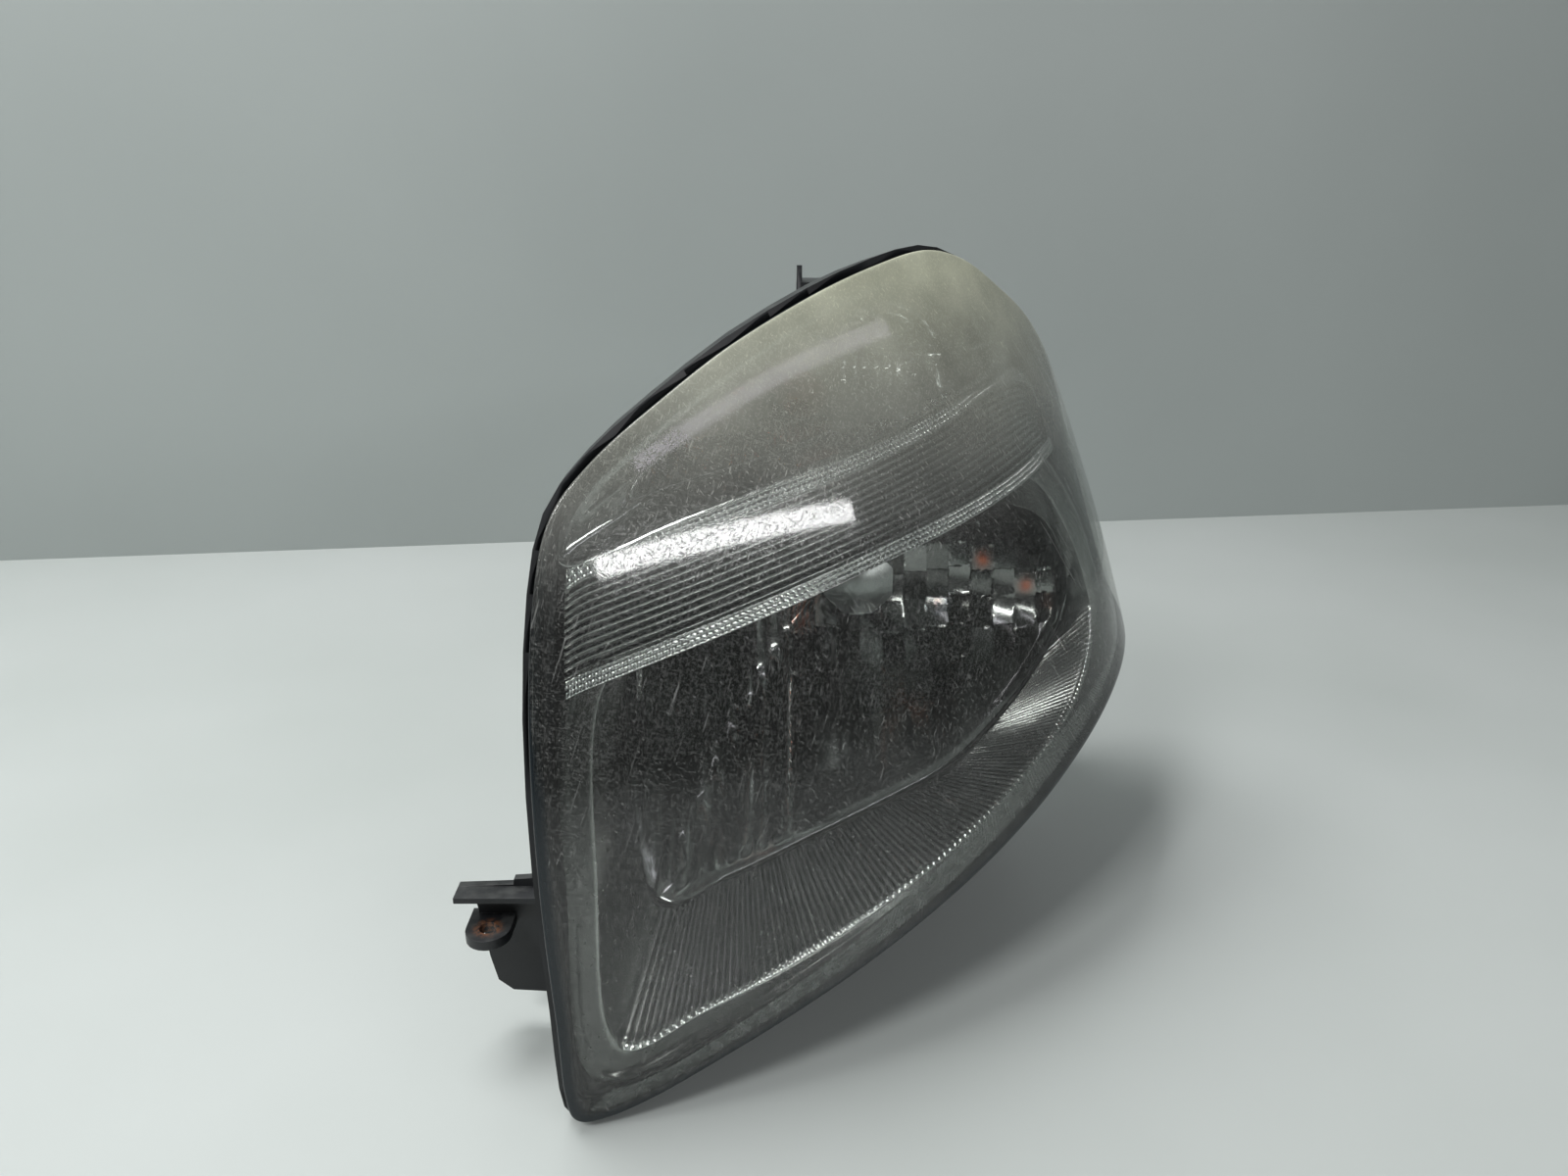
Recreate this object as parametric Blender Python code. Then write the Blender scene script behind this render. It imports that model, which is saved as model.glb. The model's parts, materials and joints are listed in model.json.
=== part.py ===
# Left-hand car headlight assembly, metres, +Z up, X outboard, Y rearward, lens facing -Y.
# It stands on the inner lower corner of its flange and on two moulded feet.
import math

import bmesh
import bpy
from mathutils import Matrix, Vector

# ---------------------------------------------------------------- driving dimensions
# From the design datum (the lens's inner lower corner) to the bottom centre of the bounding box.
SHIFT = Vector((-0.1266, -0.1859, -0.0006))
PHI_0 = 15.0           # section angle of the inboard lens edge, degrees
WALL = 0.003           # moulded wall of housing and lens
TRIM = 0.0022          # bezel sheet
GAP = 0.0004           # clearance between nested pieces
SKIRT = 0.014          # lens skirt length behind its edge
FLANGE = 0.0035        # housing flange outside the lens edge
BACK_Y = 0.300         # outside of the housing's flat back wall
BULB_X, BULB_Z = 0.137, 0.190          # main bulb axis
VERTEX_Y = 0.262       # back of the main reflector bowl
BULB_HOLE_R = 0.019
TUNNEL_R, TUNNEL_BORE = 0.047, 0.0436  # rear service tunnel
TUNNEL_END = 0.325
EAR_TOP = 0.3105       # upper face of the rear top ear
PAD_Y = 0.3125         # face of the pad under the horizontal adjuster
AIM_Y = 0.262          # plane of both aiming axes
YAW_X = 0.062          # upright aiming axis
PITCH_Z = 0.250        # cross aiming axis
SPINDLE_Z = 0.125      # levelling spindle height
ROD_X = 0.195          # horizontal aiming rod
BALL_R, SOCKET_R = 0.0043, 0.0052
TURN_X, TURN_Z = 0.106, 0.293          # direction indicator bulb axis
TURN_HOLE_Y = 0.240

# Lens edge, (section angle in degrees, height): along the bottom, up the outer end, back over the top.
LENS_EDGE = [(15.5, .0058), (17.2, .0053), (20, .0122), (25, .028), (32, .048), (41, .072), (50, .094),
    (59, .113), (69, .127), (80, .134), (89, .138), (92.3, .150), (92.8, .180), (92, .215), (90, .250),
    (84, .288), (75, .322), (66, .345), (59, .361), (52, .367), (44, .362), (36, .351), (28, .333),
    (21.5, .310), (17.3, .290), (14.9, .270), (14.1, .240), (14.0, .190), (14.4, .125), (14.9, .060),
    (15.0, .020)]
# Back wall edge of the housing, (x, height), station for station with the lens edge.
BACK_EDGE = [(.020, .029), (.028, .0245), (.042, .022), (.075, .022), (.110, .028), (.155, .038), (.200,
    .052), (.246, .066), (.264, .090), (.270, .110), (.272, .134), (.273, .155), (.270, .185), (.263,
    .215), (.251, .245), (.235, .271), (.215, .294), (.193, .309), (.173, .318), (.150, .322), (.125,
    .319), (.100, .311), (.076, .300), (.055, .286), (.036, .270), (.024, .254), (.018, .234), (.015,
    .195), (.014, .135), (.014, .078), (.015, .044)]
# Lower chamber: front lip and outer edge (angle, height), opening over the reflector (x, height).
LOWER_LIP = [
    (18.2, .033), (24, .0430), (33, .064), (42, .085), (52, .1075), (65, .1325), (72, .152), (74.5, .175),
    (71.5, .215), (66, .246), (54, .241), (42, .231), (32, .219), (24, .207), (18.5, .194), (17.8, .115)]
LOWER_OUT = [(16.6, .020), (24, .0310), (33, .0565), (42, .0800), (52, .1040), (66, .1315), (76, .147),
    (83, .175), (80, .215), (74, .2505), (55, .2455), (42, .2355), (32, .2235), (24, .2115), (16.4,
    .1975), (16.0, .110)]
LOWER_BACK = [
    (.036, .0730), (.066, .0770), (.104, .0838), (.144, .0880), (.184, .0915), (.216, .1055), (.242,
    .1235), (.263, .1490), (.262, .1820), (.240, .2210), (.200, .2400), (.150, .2360), (.112, .2270),
    (.074, .2150), (.030, .1985), (.027, .1350)]
# Ribbed band between the chambers: (angle, bottom height, top height).
BAND = [(16.2, .2005, .246), (18, .205, .252), (24, .2155, .262), (32, .2275, .273), (42, .2395, .284),
        (52, .2475, .294), (62, .253, .303), (72, .2555, .300), (80, .253, .288), (85, .2495, .272)]
# Upper chamber: front lip and outer edge (angle, height), opening over its reflector (x, height).
UPPER_LIP = [
    (17.5, .258), (24, .269), (33, .281), (43, .2915), (53, .302), (63, .311), (65, .324), (59, .341),
    (50, .352), (40, .343), (31, .324), (24, .302), (19, .281), (17, .269)]
UPPER_OUT = [
    (16.4, .2515), (24, .265), (33, .2775), (43, .288), (53, .298), (65, .306), (70, .322), (61, .351),
    (51, .3605), (40, .352), (31, .334), (24, .3125), (18, .287), (15.8, .268)]
UPPER_BACK = [
    (.030, .268), (.052, .270), (.085, .272), (.115, .276), (.145, .284), (.176, .297), (.184, .307),
    (.174, .320), (.153, .329), (.125, .326), (.095, .315), (.066, .301), (.043, .287), (.030, .277)]


# ---------------------------------------------------------------- shape rules
def skin(phi, z, inset=0.0):
    """Point on the outer lens surface, or that far inside it."""
    def at(p, h):
        a = math.radians(p)
        a0 = math.radians(PHI_0)
        width = 0.468 - 0.21 * h - 0.66 * h * h
        depth = 0.344 - 0.163 * h
        return Vector((-0.16 * h * (0.267 - h) + width * (math.sin(a) - math.sin(a0)),
                       0.70 * h * h + depth * (math.cos(a0) - math.cos(a)), h))
    p = at(phi, z)
    if inset:
        n = (at(phi, z + 0.002) - at(phi, z - 0.002)).cross(at(phi + 0.5, z) - at(phi - 0.5, z))
        p = p + n.normalized() * inset
    return p


def back_y(x, z):
    return BACK_Y + max(0.0, x - 0.20) * (1.1 + 4.0 * max(0.0, z - 0.25))


def smooth(stations, closed=True):
    """Each station and one Catmull-Rom point between it and the next."""
    out = []
    n = len(stations)
    last = n if closed else n - 1
    for i in range(last):
        if closed:
            a, b, c, d = (stations[(i + k) % n] for k in (-1, 0, 1, 2))
        else:
            a, b, c, d = (stations[min(max(i + k, 0), n - 1)] for k in (-1, 0, 1, 2))
        out.append(tuple(b))
        out.append(tuple((9.0 * (q + r) - p - s) / 16.0 for p, q, r, s in zip(a, b, c, d)))
    if not closed:
        out.append(tuple(stations[-1]))
    return out


REAR = Vector((0.0, 1.0, 0.0))


def frames(ring, depth=None):
    """(sideways out, rearward) unit pairs round a ring that runs anticlockwise seen from the front."""
    pairs = []
    n = len(ring)
    for i in range(n):
        d = depth[i] if depth else REAR
        pairs.append(((ring[(i + 1) % n] - ring[i - 1]).cross(d).normalized() * -1.0, d))
    return pairs


def push(ring, pairs, side, back):
    return [p + s * side + d * back for p, (s, d) in zip(ring, pairs)]


def between(a, b, t):
    return [p.lerp(q, t) for p, q in zip(a, b)]


def skirt_way(phi, z):
    """Straight back on the face of the lamp, turning inward where the lens wraps round the wing."""
    w = min(max((phi - 35.0) / 35.0, 0.0), 1.0)
    inward = (skin(phi, z, 0.01) - skin(phi, z)).normalized()
    return (REAR * (1.0 - w) + inward * w).normalized()


# ---------------------------------------------------------------- mesh helpers
def new_mesh(name, bm, mat=None, origin=(0, 0, 0)):
    bmesh.ops.recalc_face_normals(bm, faces=bm.faces[:])
    origin = Vector(origin)
    bmesh.ops.translate(bm, verts=bm.verts[:], vec=-origin)
    mesh = bpy.data.meshes.new(name)
    bm.to_mesh(mesh)
    bm.free()
    ob = bpy.data.objects.new(name, mesh)
    bpy.context.scene.collection.objects.link(ob)
    ob.location = origin + SHIFT
    if mat:
        mesh.materials.append(mat)
    mesh.shade_smooth()
    mesh.set_sharp_from_angle(angle=math.radians(32))
    return ob


def loft(rings, bm=None):
    """Closed solid through rings of equal length; a one-point ring is a pole."""
    bm = bm or bmesh.new()
    rows = [[bm.verts.new(p) for p in ring] for ring in rings]
    for a, b in zip(rows, rows[1:]):
        n = max(len(a), len(b))
        for i in range(n):
            j = (i + 1) % n
            if len(a) == 1:
                bm.faces.new((a[0], b[j], b[i]))
            elif len(b) == 1:
                bm.faces.new((a[i], a[j], b[0]))
            else:
                bm.faces.new((a[i], a[j], b[j], b[i]))
    return bm


def hoop(rings):
    """Solid ring: the rings form a closed cross-section."""
    bm = bmesh.new()
    rows = [[bm.verts.new(p) for p in ring] for ring in rings]
    m = len(rows)
    for k in range(m):
        a, b = rows[k], rows[(k + 1) % m]
        n = len(a)
        for i in range(n):
            j = (i + 1) % n
            bm.faces.new((a[i], a[j], b[j], b[i]))
    return bm


AXES = {"X": Matrix.Rotation(math.radians(90), 4, "Y"), "Y": Matrix.Rotation(math.radians(-90), 4, "X"),
        "Z": Matrix.Identity(4)}


def lathe(profile, axis, centre, seg=24):
    """Turn (distance along axis, radius) about it; radius 0 is a pole, else the profile closes itself."""
    turn = Matrix.Translation(Vector(centre)) @ AXES[axis]
    rings = []
    for along, r in profile:
        if r == 0:
            rings.append([turn @ Vector((0, 0, along))])
        else:
            rings.append([turn @ Vector((r * math.cos(2 * math.pi * k / seg),
                r * math.sin(2 * math.pi * k / seg), along)) for k in range(seg)])
    if profile[0][1] == 0:
        return loft(rings)
    return hoop(rings)


def slab(outline, axis, low, high):
    """Prism: a flat outline in the plane across the axis, between two distances along it."""
    def place(u, v, w):
        return {"X": (w, u, v), "Y": (u, w, v), "Z": (u, v, w)}[axis]
    bm = bmesh.new()
    a = [bm.verts.new(place(u, v, low)) for u, v in outline]
    b = [bm.verts.new(place(u, v, high)) for u, v in outline]
    n = len(a)
    bm.faces.new(a)
    bm.faces.new(b[::-1])
    for i in range(n):
        j = (i + 1) % n
        bm.faces.new((a[i], b[i], b[j], a[j]))
    return bm


def block(low, high):
    return slab([(low[0], low[1]), (high[0], low[1]), (high[0], high[1]), (low[0], high[1])], "Z",
        low[2], high[2])


def rod(axis, centre, r, low, high, seg=16):
    """Plain cylinder about an axis through centre, between two coordinates on that axis."""
    c = list(centre)
    c["XYZ".index(axis)] = 0.0
    return lathe([(low, 0), (low, r), (high, r), (high, 0)], axis, c, seg)


def wire(points, r, sides=8):
    """Bent round wire through the points, square ended."""
    pts = [Vector(p) for p in points]
    rings = [[pts[0]]]
    for i, p in enumerate(pts):
        a = pts[max(i - 1, 0)]
        b = pts[min(i + 1, len(pts) - 1)]
        d = (b - a).normalized()
        side = d.orthogonal().normalized() if i == 0 else (side - d * side.dot(d)).normalized()
        up = d.cross(side)
        turns = [2 * math.pi * k / sides for k in range(sides)]
        rings.append([p + side * r * math.cos(a) + up * r * math.sin(a) for a in turns])
    rings.append([pts[-1]])
    return loft(rings)


def tool(name, bm):
    ob = new_mesh(name, bm)
    ob.hide_render = True
    ob.display_type = "WIRE"
    return ob


def boolean(ob, kind, *meshes):
    """Join or cut closed shapes; their objects stay hidden as tools."""
    for bm in meshes:
        k = len(ob.modifiers)
        other = tool("tool_{}_{}".format(ob.name, k), bm)
        mod = ob.modifiers.new("{}_{}".format(kind.lower(), k), "BOOLEAN")
        mod.operation = kind
        mod.solver = "EXACT"
        mod.object = other
    return ob


def circle(cx, cy, r, n=20, start=0.0, sweep=360.0):
    full = sweep >= 360.0
    m = n if full else n + 1
    return [(cx + r * math.cos(math.radians(start + sweep * k / n)),
        cy + r * math.sin(math.radians(start + sweep * k / n))) for k in range(m)]


def material(name, colour, metallic=0.0, rough=0.5, alpha=1.0):
    m = bpy.data.materials.new(name)
    m.use_nodes = True
    p = m.node_tree.nodes["Principled BSDF"]
    p.inputs["Base Color"].default_value = (*colour, 1.0)
    p.inputs["Metallic"].default_value = metallic
    p.inputs["Roughness"].default_value = rough
    p.inputs["Alpha"].default_value = alpha
    m.diffuse_color = (*colour, alpha)
    return m


for old in list(bpy.data.objects):
    bpy.data.objects.remove(old)

CLEAR = material("clear_polycarbonate", (0.75, 0.80, 0.78), 0.0, 0.10, 0.25)
BLACK = material("black_polypropylene", (0.015, 0.016, 0.017), 0.0, 0.55)
CHROME = material("bright_metallising", (0.72, 0.74, 0.75), 1.0, 0.12)
SATIN = material("dark_metallising", (0.22, 0.23, 0.24), 1.0, 0.25)
STEEL = material("zinc_plated_steel", (0.55, 0.56, 0.56), 1.0, 0.35)
BRASS = material("brass", (0.70, 0.55, 0.28), 1.0, 0.35)
RUBBER = material("black_rubber", (0.02, 0.02, 0.02), 0.0, 0.8)
AMBER = material("amber_glass", (0.95, 0.42, 0.06), 0.0, 0.08, 0.5)
GLASS = material("bulb_glass", (0.85, 0.88, 0.90), 0.0, 0.05, 0.35)
WHITE = material("natural_nylon", (0.78, 0.76, 0.70), 0.0, 0.45)
GREY = material("grey_nylon", (0.20, 0.21, 0.22), 0.0, 0.5)

# ---------------------------------------------------------------- lens, seal and housing
edge_2d = smooth(LENS_EDGE)
edge = [skin(p, z) for p, z in edge_2d]
out = frames(edge, [skirt_way(p, z) for p, z in edge_2d])
MID = (46.0, 0.205)


def toward_mid(amount, inset):
    return [skin(MID[0] + (p - MID[0]) * amount, MID[1] + (z - MID[1]) * amount, inset) for p,
        z in edge_2d]


lens = loft(
    [[skin(*MID)]] + [toward_mid(a, 0.0) for a in (0.3, 0.6, 0.85)] + [edge, push(edge, out, 0.0, SKIRT),
     push(edge, out, -WALL, SKIRT), push(edge, out, -WALL, 0.0045)]
    + [toward_mid(a, WALL) for a in (0.85, 0.6, 0.3)] + [[skin(*MID, WALL)]])
new_mesh("lens", lens, CLEAR)

seal = hoop([push(edge, out, s, b) for s, b in ((-0.0002, SKIRT + 0.0014), (-0.0002, 0.0193), (-0.0040,
    0.0193), (-0.0040, SKIRT + 0.0014))])
new_mesh("lens_seal", seal, RUBBER)

back_2d = smooth(BACK_EDGE)
back = [Vector((x, back_y(x, z), z)) for x, z in back_2d]
back_out = frames(back)
ledge = push(edge, out, -0.0030, 0.0245)


def back_ring(amount, side, lift):
    ring = []
    for p, (o, _) in zip(back, back_out):
        q = Vector((0.145 + (p.x - 0.145) * amount, 0.0, 0.185 + (p.z - 0.185) * amount)) + o * side
        q.y = back_y(q.x, q.z) + lift
        ring.append(q)
    return ring


body_rear = push(back, back_out, 0.0, -0.010)
housing_rings = ([[Vector((0.145, back_y(0.145, 0.185), 0.185))], back_ring(0.55, 0.0, 0.0),
    back_ring(1.0, -0.008, 0.0), body_rear, between(ledge, body_rear, 0.5), ledge, push(edge, out,
    FLANGE, 0.0225), push(edge, out, FLANGE, 0.0060), push(edge, out, 0.0004, 0.0060), push(edge, out,
    0.0004, 0.0197), push(edge, out, -0.0060, 0.0197), push(edge, out, -0.0060,
    0.0275)] + [between(push(edge, out, -0.0060, 0.0275), push(body_rear, back_out, -WALL, 0.0), 0.5),
    push(body_rear, back_out, -WALL, 0.0), back_ring(1.0, -0.0095, -WALL), back_ring(0.55, 0.0, -WALL),
    [Vector((0.145, back_y(0.145, 0.185) - WALL, 0.185))]])
shell = loft(housing_rings)
bmesh.ops.triangulate(shell, faces=shell.faces[:])
housing = new_mesh("rear_housing", shell, BLACK)
boolean(housing, "UNION", rod("Y", (BULB_X, 0, BULB_Z), TUNNEL_R, 0.2975, TUNNEL_END, 32), block((0.022,
    0.250, 0.0006), (0.044, 0.278, 0.040)), block((0.190, 0.212, 0.0006), (0.206, 0.262, 0.082)),
    rod("Y", (ROD_X - 0.002, 0, PITCH_Z), 0.0175, 0.2985, PAD_Y, 24), slab([(0.206, 0.325), (0.236,
    0.325), (0.236, 0.346), (0.214, 0.352), (0.207, 0.3585)], "X", 0.1025, 0.1052), block((0.1045,
    0.206, 0.325), (0.118, 0.232, 0.3500)), block((0.145, 0.2985, 0.306), (0.175, 0.326, EAR_TOP)))
boolean(housing, "DIFFERENCE",
        rod("Z", (0.160, 0.312, 0), 0.0035, 0.300, 0.315, 20),
        rod("Y", (BULB_X, 0, BULB_Z), TUNNEL_BORE, 0.285, 0.340, 32),
        rod("Y", (TURN_X, 0, TURN_Z), 0.0175, 0.285, 0.310, 24),
        rod("Y", (YAW_X, 0, SPINDLE_Z), 0.0065, 0.285, 0.310, 16),
        rod("Y", (ROD_X, 0, PITCH_Z), 0.0065, 0.285, 0.320, 16))

# ---------------------------------------------------------------- bezels and divider band
def lower_back_y(x):
    return 0.070 + 0.42 * (x - 0.04) + 1.7 * (x - 0.04) ** 2


def upper_back_y(x):
    return 0.085 + 1.07 * (x - 0.03)


def bezel(lip, outer, opening, depth_rule, inset):
    """Trim frame: outer edge, lip and opening over the reflector, one sheet with turned-back walls."""
    lip_ring = [skin(p, z, inset) for p, z in smooth(lip)]
    out_ring = [skin(p, z, inset - 0.003) for p, z in smooth(outer)]
    hole = [Vector((x, depth_rule(x), z)) for x, z in smooth(opening)]
    o = frames(hole)
    lip_in = frames(lip_ring, [(skin(p, z, 0.01) - skin(p, z)).normalized() for p, z in smooth(lip)])
    out_in = frames(out_ring, [(skin(p, z, 0.01) - skin(p, z)).normalized() for p, z in smooth(outer)])
    mid = between(lip_ring, hole, 0.5)
    lip_back = push(lip_ring, lip_in, 0.0014, TRIM)
    hole_back = push(hole, o, TRIM, 0.0008)
    mid_back = between(lip_back, hole_back, 0.5)
    return hoop([out_ring, lip_ring, mid, hole, hole_back, mid_back, lip_back, push(out_ring, out_in,
        0.0, TRIM)])


new_mesh("lower_bezel", bezel(LOWER_LIP, LOWER_OUT, LOWER_BACK, lower_back_y, 0.013), SATIN)
new_mesh("upper_bezel", bezel(UPPER_LIP, UPPER_OUT, UPPER_BACK, upper_back_y, 0.013), CHROME)

band_pts = smooth(BAND, closed=False)
ROWS = 4
band_front = [[skin(p, lo + (hi - lo) * k / ROWS,
    0.0155 + 0.010 * (k / ROWS) * (1 - k / ROWS)) for k in range(ROWS + 1)] for p, lo, hi in band_pts]
band_rings = []
for row in band_front:
    back_row = [p + Vector((0.0, TRIM * 1.2, 0.0)) + Vector((-TRIM * 0.6, 0.0, 0.0)) for p in row]
    band_rings.append(row + back_row[::-1])
bm = bmesh.new()
rows = [[bm.verts.new(p) for p in ring] for ring in band_rings]
for a, b in zip(rows, rows[1:]):
    for i in range(len(a)):
        j = (i + 1) % len(a)
        bm.faces.new((a[i], a[j], b[j], b[i]))
bm.faces.new(rows[0])
bm.faces.new(rows[-1][::-1])
new_mesh("divider_band", bm, SATIN)


# ---------------------------------------------------------------- main reflector and what it carries
def bowl(rim, hole_c, hole_r, hole_y, power, wall):
    """Reflector: rim ring to a round bulb hole, with an even wall behind."""
    c = Vector((hole_c[0], 0, hole_c[1]))
    ring = []
    for p in rim:
        d = Vector((p.x, 0, p.z)) - c
        a = math.atan2(d.z, d.x)
        ring.append(Vector((c.x + hole_r * math.cos(a), hole_y, c.z + hole_r * math.sin(a))))
    front = []
    rear = []
    for s in (0.0, 0.3, 0.6, 0.85, 1.0):
        row = []
        for p, q in zip(rim, ring):
            w = q.lerp(p, s)
            w.y = q.y + (p.y - q.y) * s ** power
            row.append(w)
        o = frames(row)
        front.append(row)
        rear.append(push(row, o, wall * min(1.0, 0.4 + s) if s else 0.0, wall * (1.0 - 0.4 * s)))
    return hoop(front + rear[::-1])


rim_2d = smooth(LOWER_BACK)
rim = [Vector((x, lower_back_y(x) + 0.0115, z)) for x, z in rim_2d]
rim = push(rim, frames(rim), 0.0035, 0.0)
PARK_X, PARK_Z = 0.192, 0.160
reflector = new_mesh("main_reflector", bowl(rim, (BULB_X, BULB_Z), BULB_HOLE_R, VERTEX_Y, 2.0, WALL),
    CHROME, (YAW_X, AIM_Y, PITCH_Z))
boolean(reflector, "DIFFERENCE", rod("Y", (PARK_X, 0, PARK_Z), 0.0062, 0.235, 0.285, 16))

flange_y = VERTEX_Y + WALL + GAP
new_mesh("main_bulb_glass", lathe([(0.2135, 0), (0.2150, 0.0050), (0.2190, 0.0080), (0.2240, 0.0085),
    (flange_y - GAP, 0.0085), (flange_y - GAP, 0)], "Y", (BULB_X, 0, BULB_Z), 20), GLASS)
new_mesh("main_bulb_base", lathe([(flange_y, 0), (flange_y, 0.0215), (flange_y + 0.0022, 0.0215),
    (flange_y + 0.0022, 0.0110), (flange_y + 0.016, 0.0105), (flange_y + 0.016, 0)], "Y", (BULB_X, 0,
    BULB_Z), 24), STEEL)
for k, (dx, dz, wx, wz) in enumerate(((-0.0055, 0.0, 0.0004, 0.0040), (0.0055, 0.0, 0.0004, 0.0040),
                                      (0.0, 0.0060, 0.0040, 0.0004)), 1):
    cx, cz = BULB_X + dx, BULB_Z + dz
    y0 = flange_y + 0.016 + GAP
    new_mesh("main_bulb_blade_{}".format(k), block((cx - wx, y0, cz - wz), (cx + wx, y0 + 0.0095,
        cz + wz)), BRASS)

# faceted cap ahead of the bulb, on a strap from the bulb hole
cap_front = circle(BULB_X, BULB_Z, 0.0105, 8, 22.5)
cap_edge = circle(BULB_X, BULB_Z, 0.0205, 8, 22.5)
cap = loft([[Vector((BULB_X, 0.1935, BULB_Z))], [Vector((x, 0.1945, z)) for x, z in cap_front],
    [Vector((x, 0.2010, z)) for x, z in cap_edge], [Vector((x, 0.2110, z)) for x, z in cap_edge],
    [Vector((BULB_X + (x - BULB_X) * 0.93, 0.2110, BULB_Z + (z - BULB_Z) * 0.93)) for x, z in cap_edge],
    [Vector((BULB_X + (x - BULB_X) * 0.93, 0.2020, BULB_Z + (z - BULB_Z) * 0.93)) for x, z in cap_edge],
    [Vector((x, 0.1960, z)) for x, z in cap_front], [Vector((BULB_X, 0.1950, BULB_Z))]])
shield = new_mesh("bulb_shield", cap, SATIN)
boolean(shield, "UNION", slab([(0.2060, BULB_Z - 0.0200), (0.2100, BULB_Z - 0.0188), (0.2500,
    BULB_Z - 0.0145), (0.2605, BULB_Z - 0.0145), (0.2605, BULB_Z - 0.0160), (0.2495, BULB_Z - 0.0162),
    (0.2060, BULB_Z - 0.0215)], "X", BULB_X - 0.004, BULB_X + 0.004))

clip_y = flange_y + 0.0022 + 0.0014
CLIP_Z = BULB_Z - 0.0280
clip = wire([(BULB_X - 0.0200, clip_y, CLIP_Z), (BULB_X - 0.0150, clip_y, CLIP_Z), (BULB_X - 0.0145,
    clip_y, CLIP_Z + 0.003), (BULB_X - 0.0145, clip_y, BULB_Z + 0.018), (BULB_X - 0.009, clip_y,
    BULB_Z + 0.0245), (BULB_X + 0.009, clip_y, BULB_Z + 0.0245), (BULB_X + 0.0145, clip_y,
    BULB_Z + 0.018), (BULB_X + 0.0145, clip_y, CLIP_Z + 0.003), (BULB_X + 0.0150, clip_y, CLIP_Z),
    (BULB_X + 0.0200, clip_y, CLIP_Z)], 0.0009)
new_mesh("bulb_clip", clip, STEEL, (BULB_X, clip_y, CLIP_Z))
for k, sx in ((1, -1), (2, 1)):
    x0 = BULB_X + sx * 0.0180
    eye = new_mesh("clip_eye_{}".format(k), block((x0 - 0.0015, VERTEX_Y + WALL + GAP, CLIP_Z - 0.004),
                                                  (x0 + 0.0015, clip_y + 0.0032, CLIP_Z + 0.0032)), STEEL)
    boolean(eye, "DIFFERENCE", rod("X", (0, clip_y, CLIP_Z), 0.0014, x0 - 0.004, x0 + 0.004, 12))

new_mesh("parking_bulb", lathe([(0.2400, 0), (0.2415, 0.0035), (0.2450, 0.0049), (0.2595, 0.0049),
    (0.2665, 0.0040), (0.2665, 0)], "Y", (PARK_X, 0, PARK_Z), 16), GLASS)
new_mesh("parking_bulb_holder", lathe([(0.2669, 0), (0.2669, 0.0085), (0.2720, 0.0085), (0.2725,
    0.0070), (0.2830, 0.0070), (0.2830, 0)], "Y", (PARK_X, 0, PARK_Z), 20), GREY)

# ---------------------------------------------------------------- aiming gear
def socket(axis_point, stem_to):
    """Ball cup open to the rear, its stem running forward."""
    x, y, z = axis_point
    return lathe([(stem_to, 0), (stem_to, 0.0055), (y - 0.0085, 0.0055), (y - 0.0085, 0.0085),
        (y + 0.0040, 0.0085), (y + 0.0040, SOCKET_R), (y - 0.0060, SOCKET_R), (y - 0.0060, 0)], "Y", (x,
        0, z), 20)


def ball_stud(x, y, z, end):
    """Ball and shank along Y."""
    r = BALL_R
    prof = [(y - r, 0)] + [(y - r * math.cos(math.radians(a)),
        r * math.sin(math.radians(a))) for a in (30, 60, 90, 120)]
    neck = 0.0028
    return lathe(prof + [(y + 0.0034, neck), (end - 0.012, neck), (end - 0.012, 0.0036), (end, 0.0036),
        (end, 0)], "Y", (x, 0, z), 20)


carrier = new_mesh("aim_carrier", block((YAW_X - 0.0045, AIM_Y - 0.0045, 0.150), (YAW_X + 0.0045,
    AIM_Y + 0.0045, 0.2595)), GREY, (YAW_X, AIM_Y, PITCH_Z))
boolean(carrier, "UNION", rod("X", (0, AIM_Y, PITCH_Z), 0.0040, YAW_X, ROD_X - 0.0065, 20),
    lathe([(AIM_Y - 0.0120, 0), (AIM_Y - 0.0120, 0.0085), (AIM_Y + 0.0040, 0.0085), (AIM_Y + 0.0040,
    SOCKET_R), (AIM_Y - 0.0060, SOCKET_R), (AIM_Y - 0.0060, 0)], "Y", (ROD_X, 0, PITCH_Z), 20))
boolean(carrier, "DIFFERENCE", rod("Z", (YAW_X, AIM_Y, 0), 0.0024, 0.250, 0.270, 16),
        rod("Z", (YAW_X, AIM_Y, 0), 0.0024, 0.140, 0.160, 16))
for name, low, high, pin in (("carrier_pivot_upper", 0.2605, 0.2665, (0.2530, 0.2620)),
                             ("carrier_pivot_lower", 0.1430, 0.1490, (0.1480, 0.1570))):
    ob = new_mesh(name, block((YAW_X - 0.0060, AIM_Y - 0.0060, low), (YAW_X + 0.0060, 0.2966, high)),
        GREY)
    boolean(ob, "UNION", rod("Z", (YAW_X, AIM_Y, 0), 0.0020, pin[0], pin[1], 16))

for name, x, y0 in (("reflector_ear_inner", 0.088, 0.2470), ("reflector_ear_outer", 0.176, 0.2660)):
    ob = new_mesh(name, rod("X", (0, AIM_Y, PITCH_Z), 0.0080, x - 0.005, x + 0.005, 20), GREY, (YAW_X,
        AIM_Y, PITCH_Z))
    boolean(ob, "UNION", slab([(y0, 0.203), (y0 + 0.006, 0.203), (0.266, 0.2445), (0.260, 0.2445)], "X",
        x - 0.004, x + 0.004))
    boolean(ob, "DIFFERENCE", rod("X", (0, AIM_Y, PITCH_Z), 0.0044, x - 0.010, x + 0.010, 20))

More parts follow.
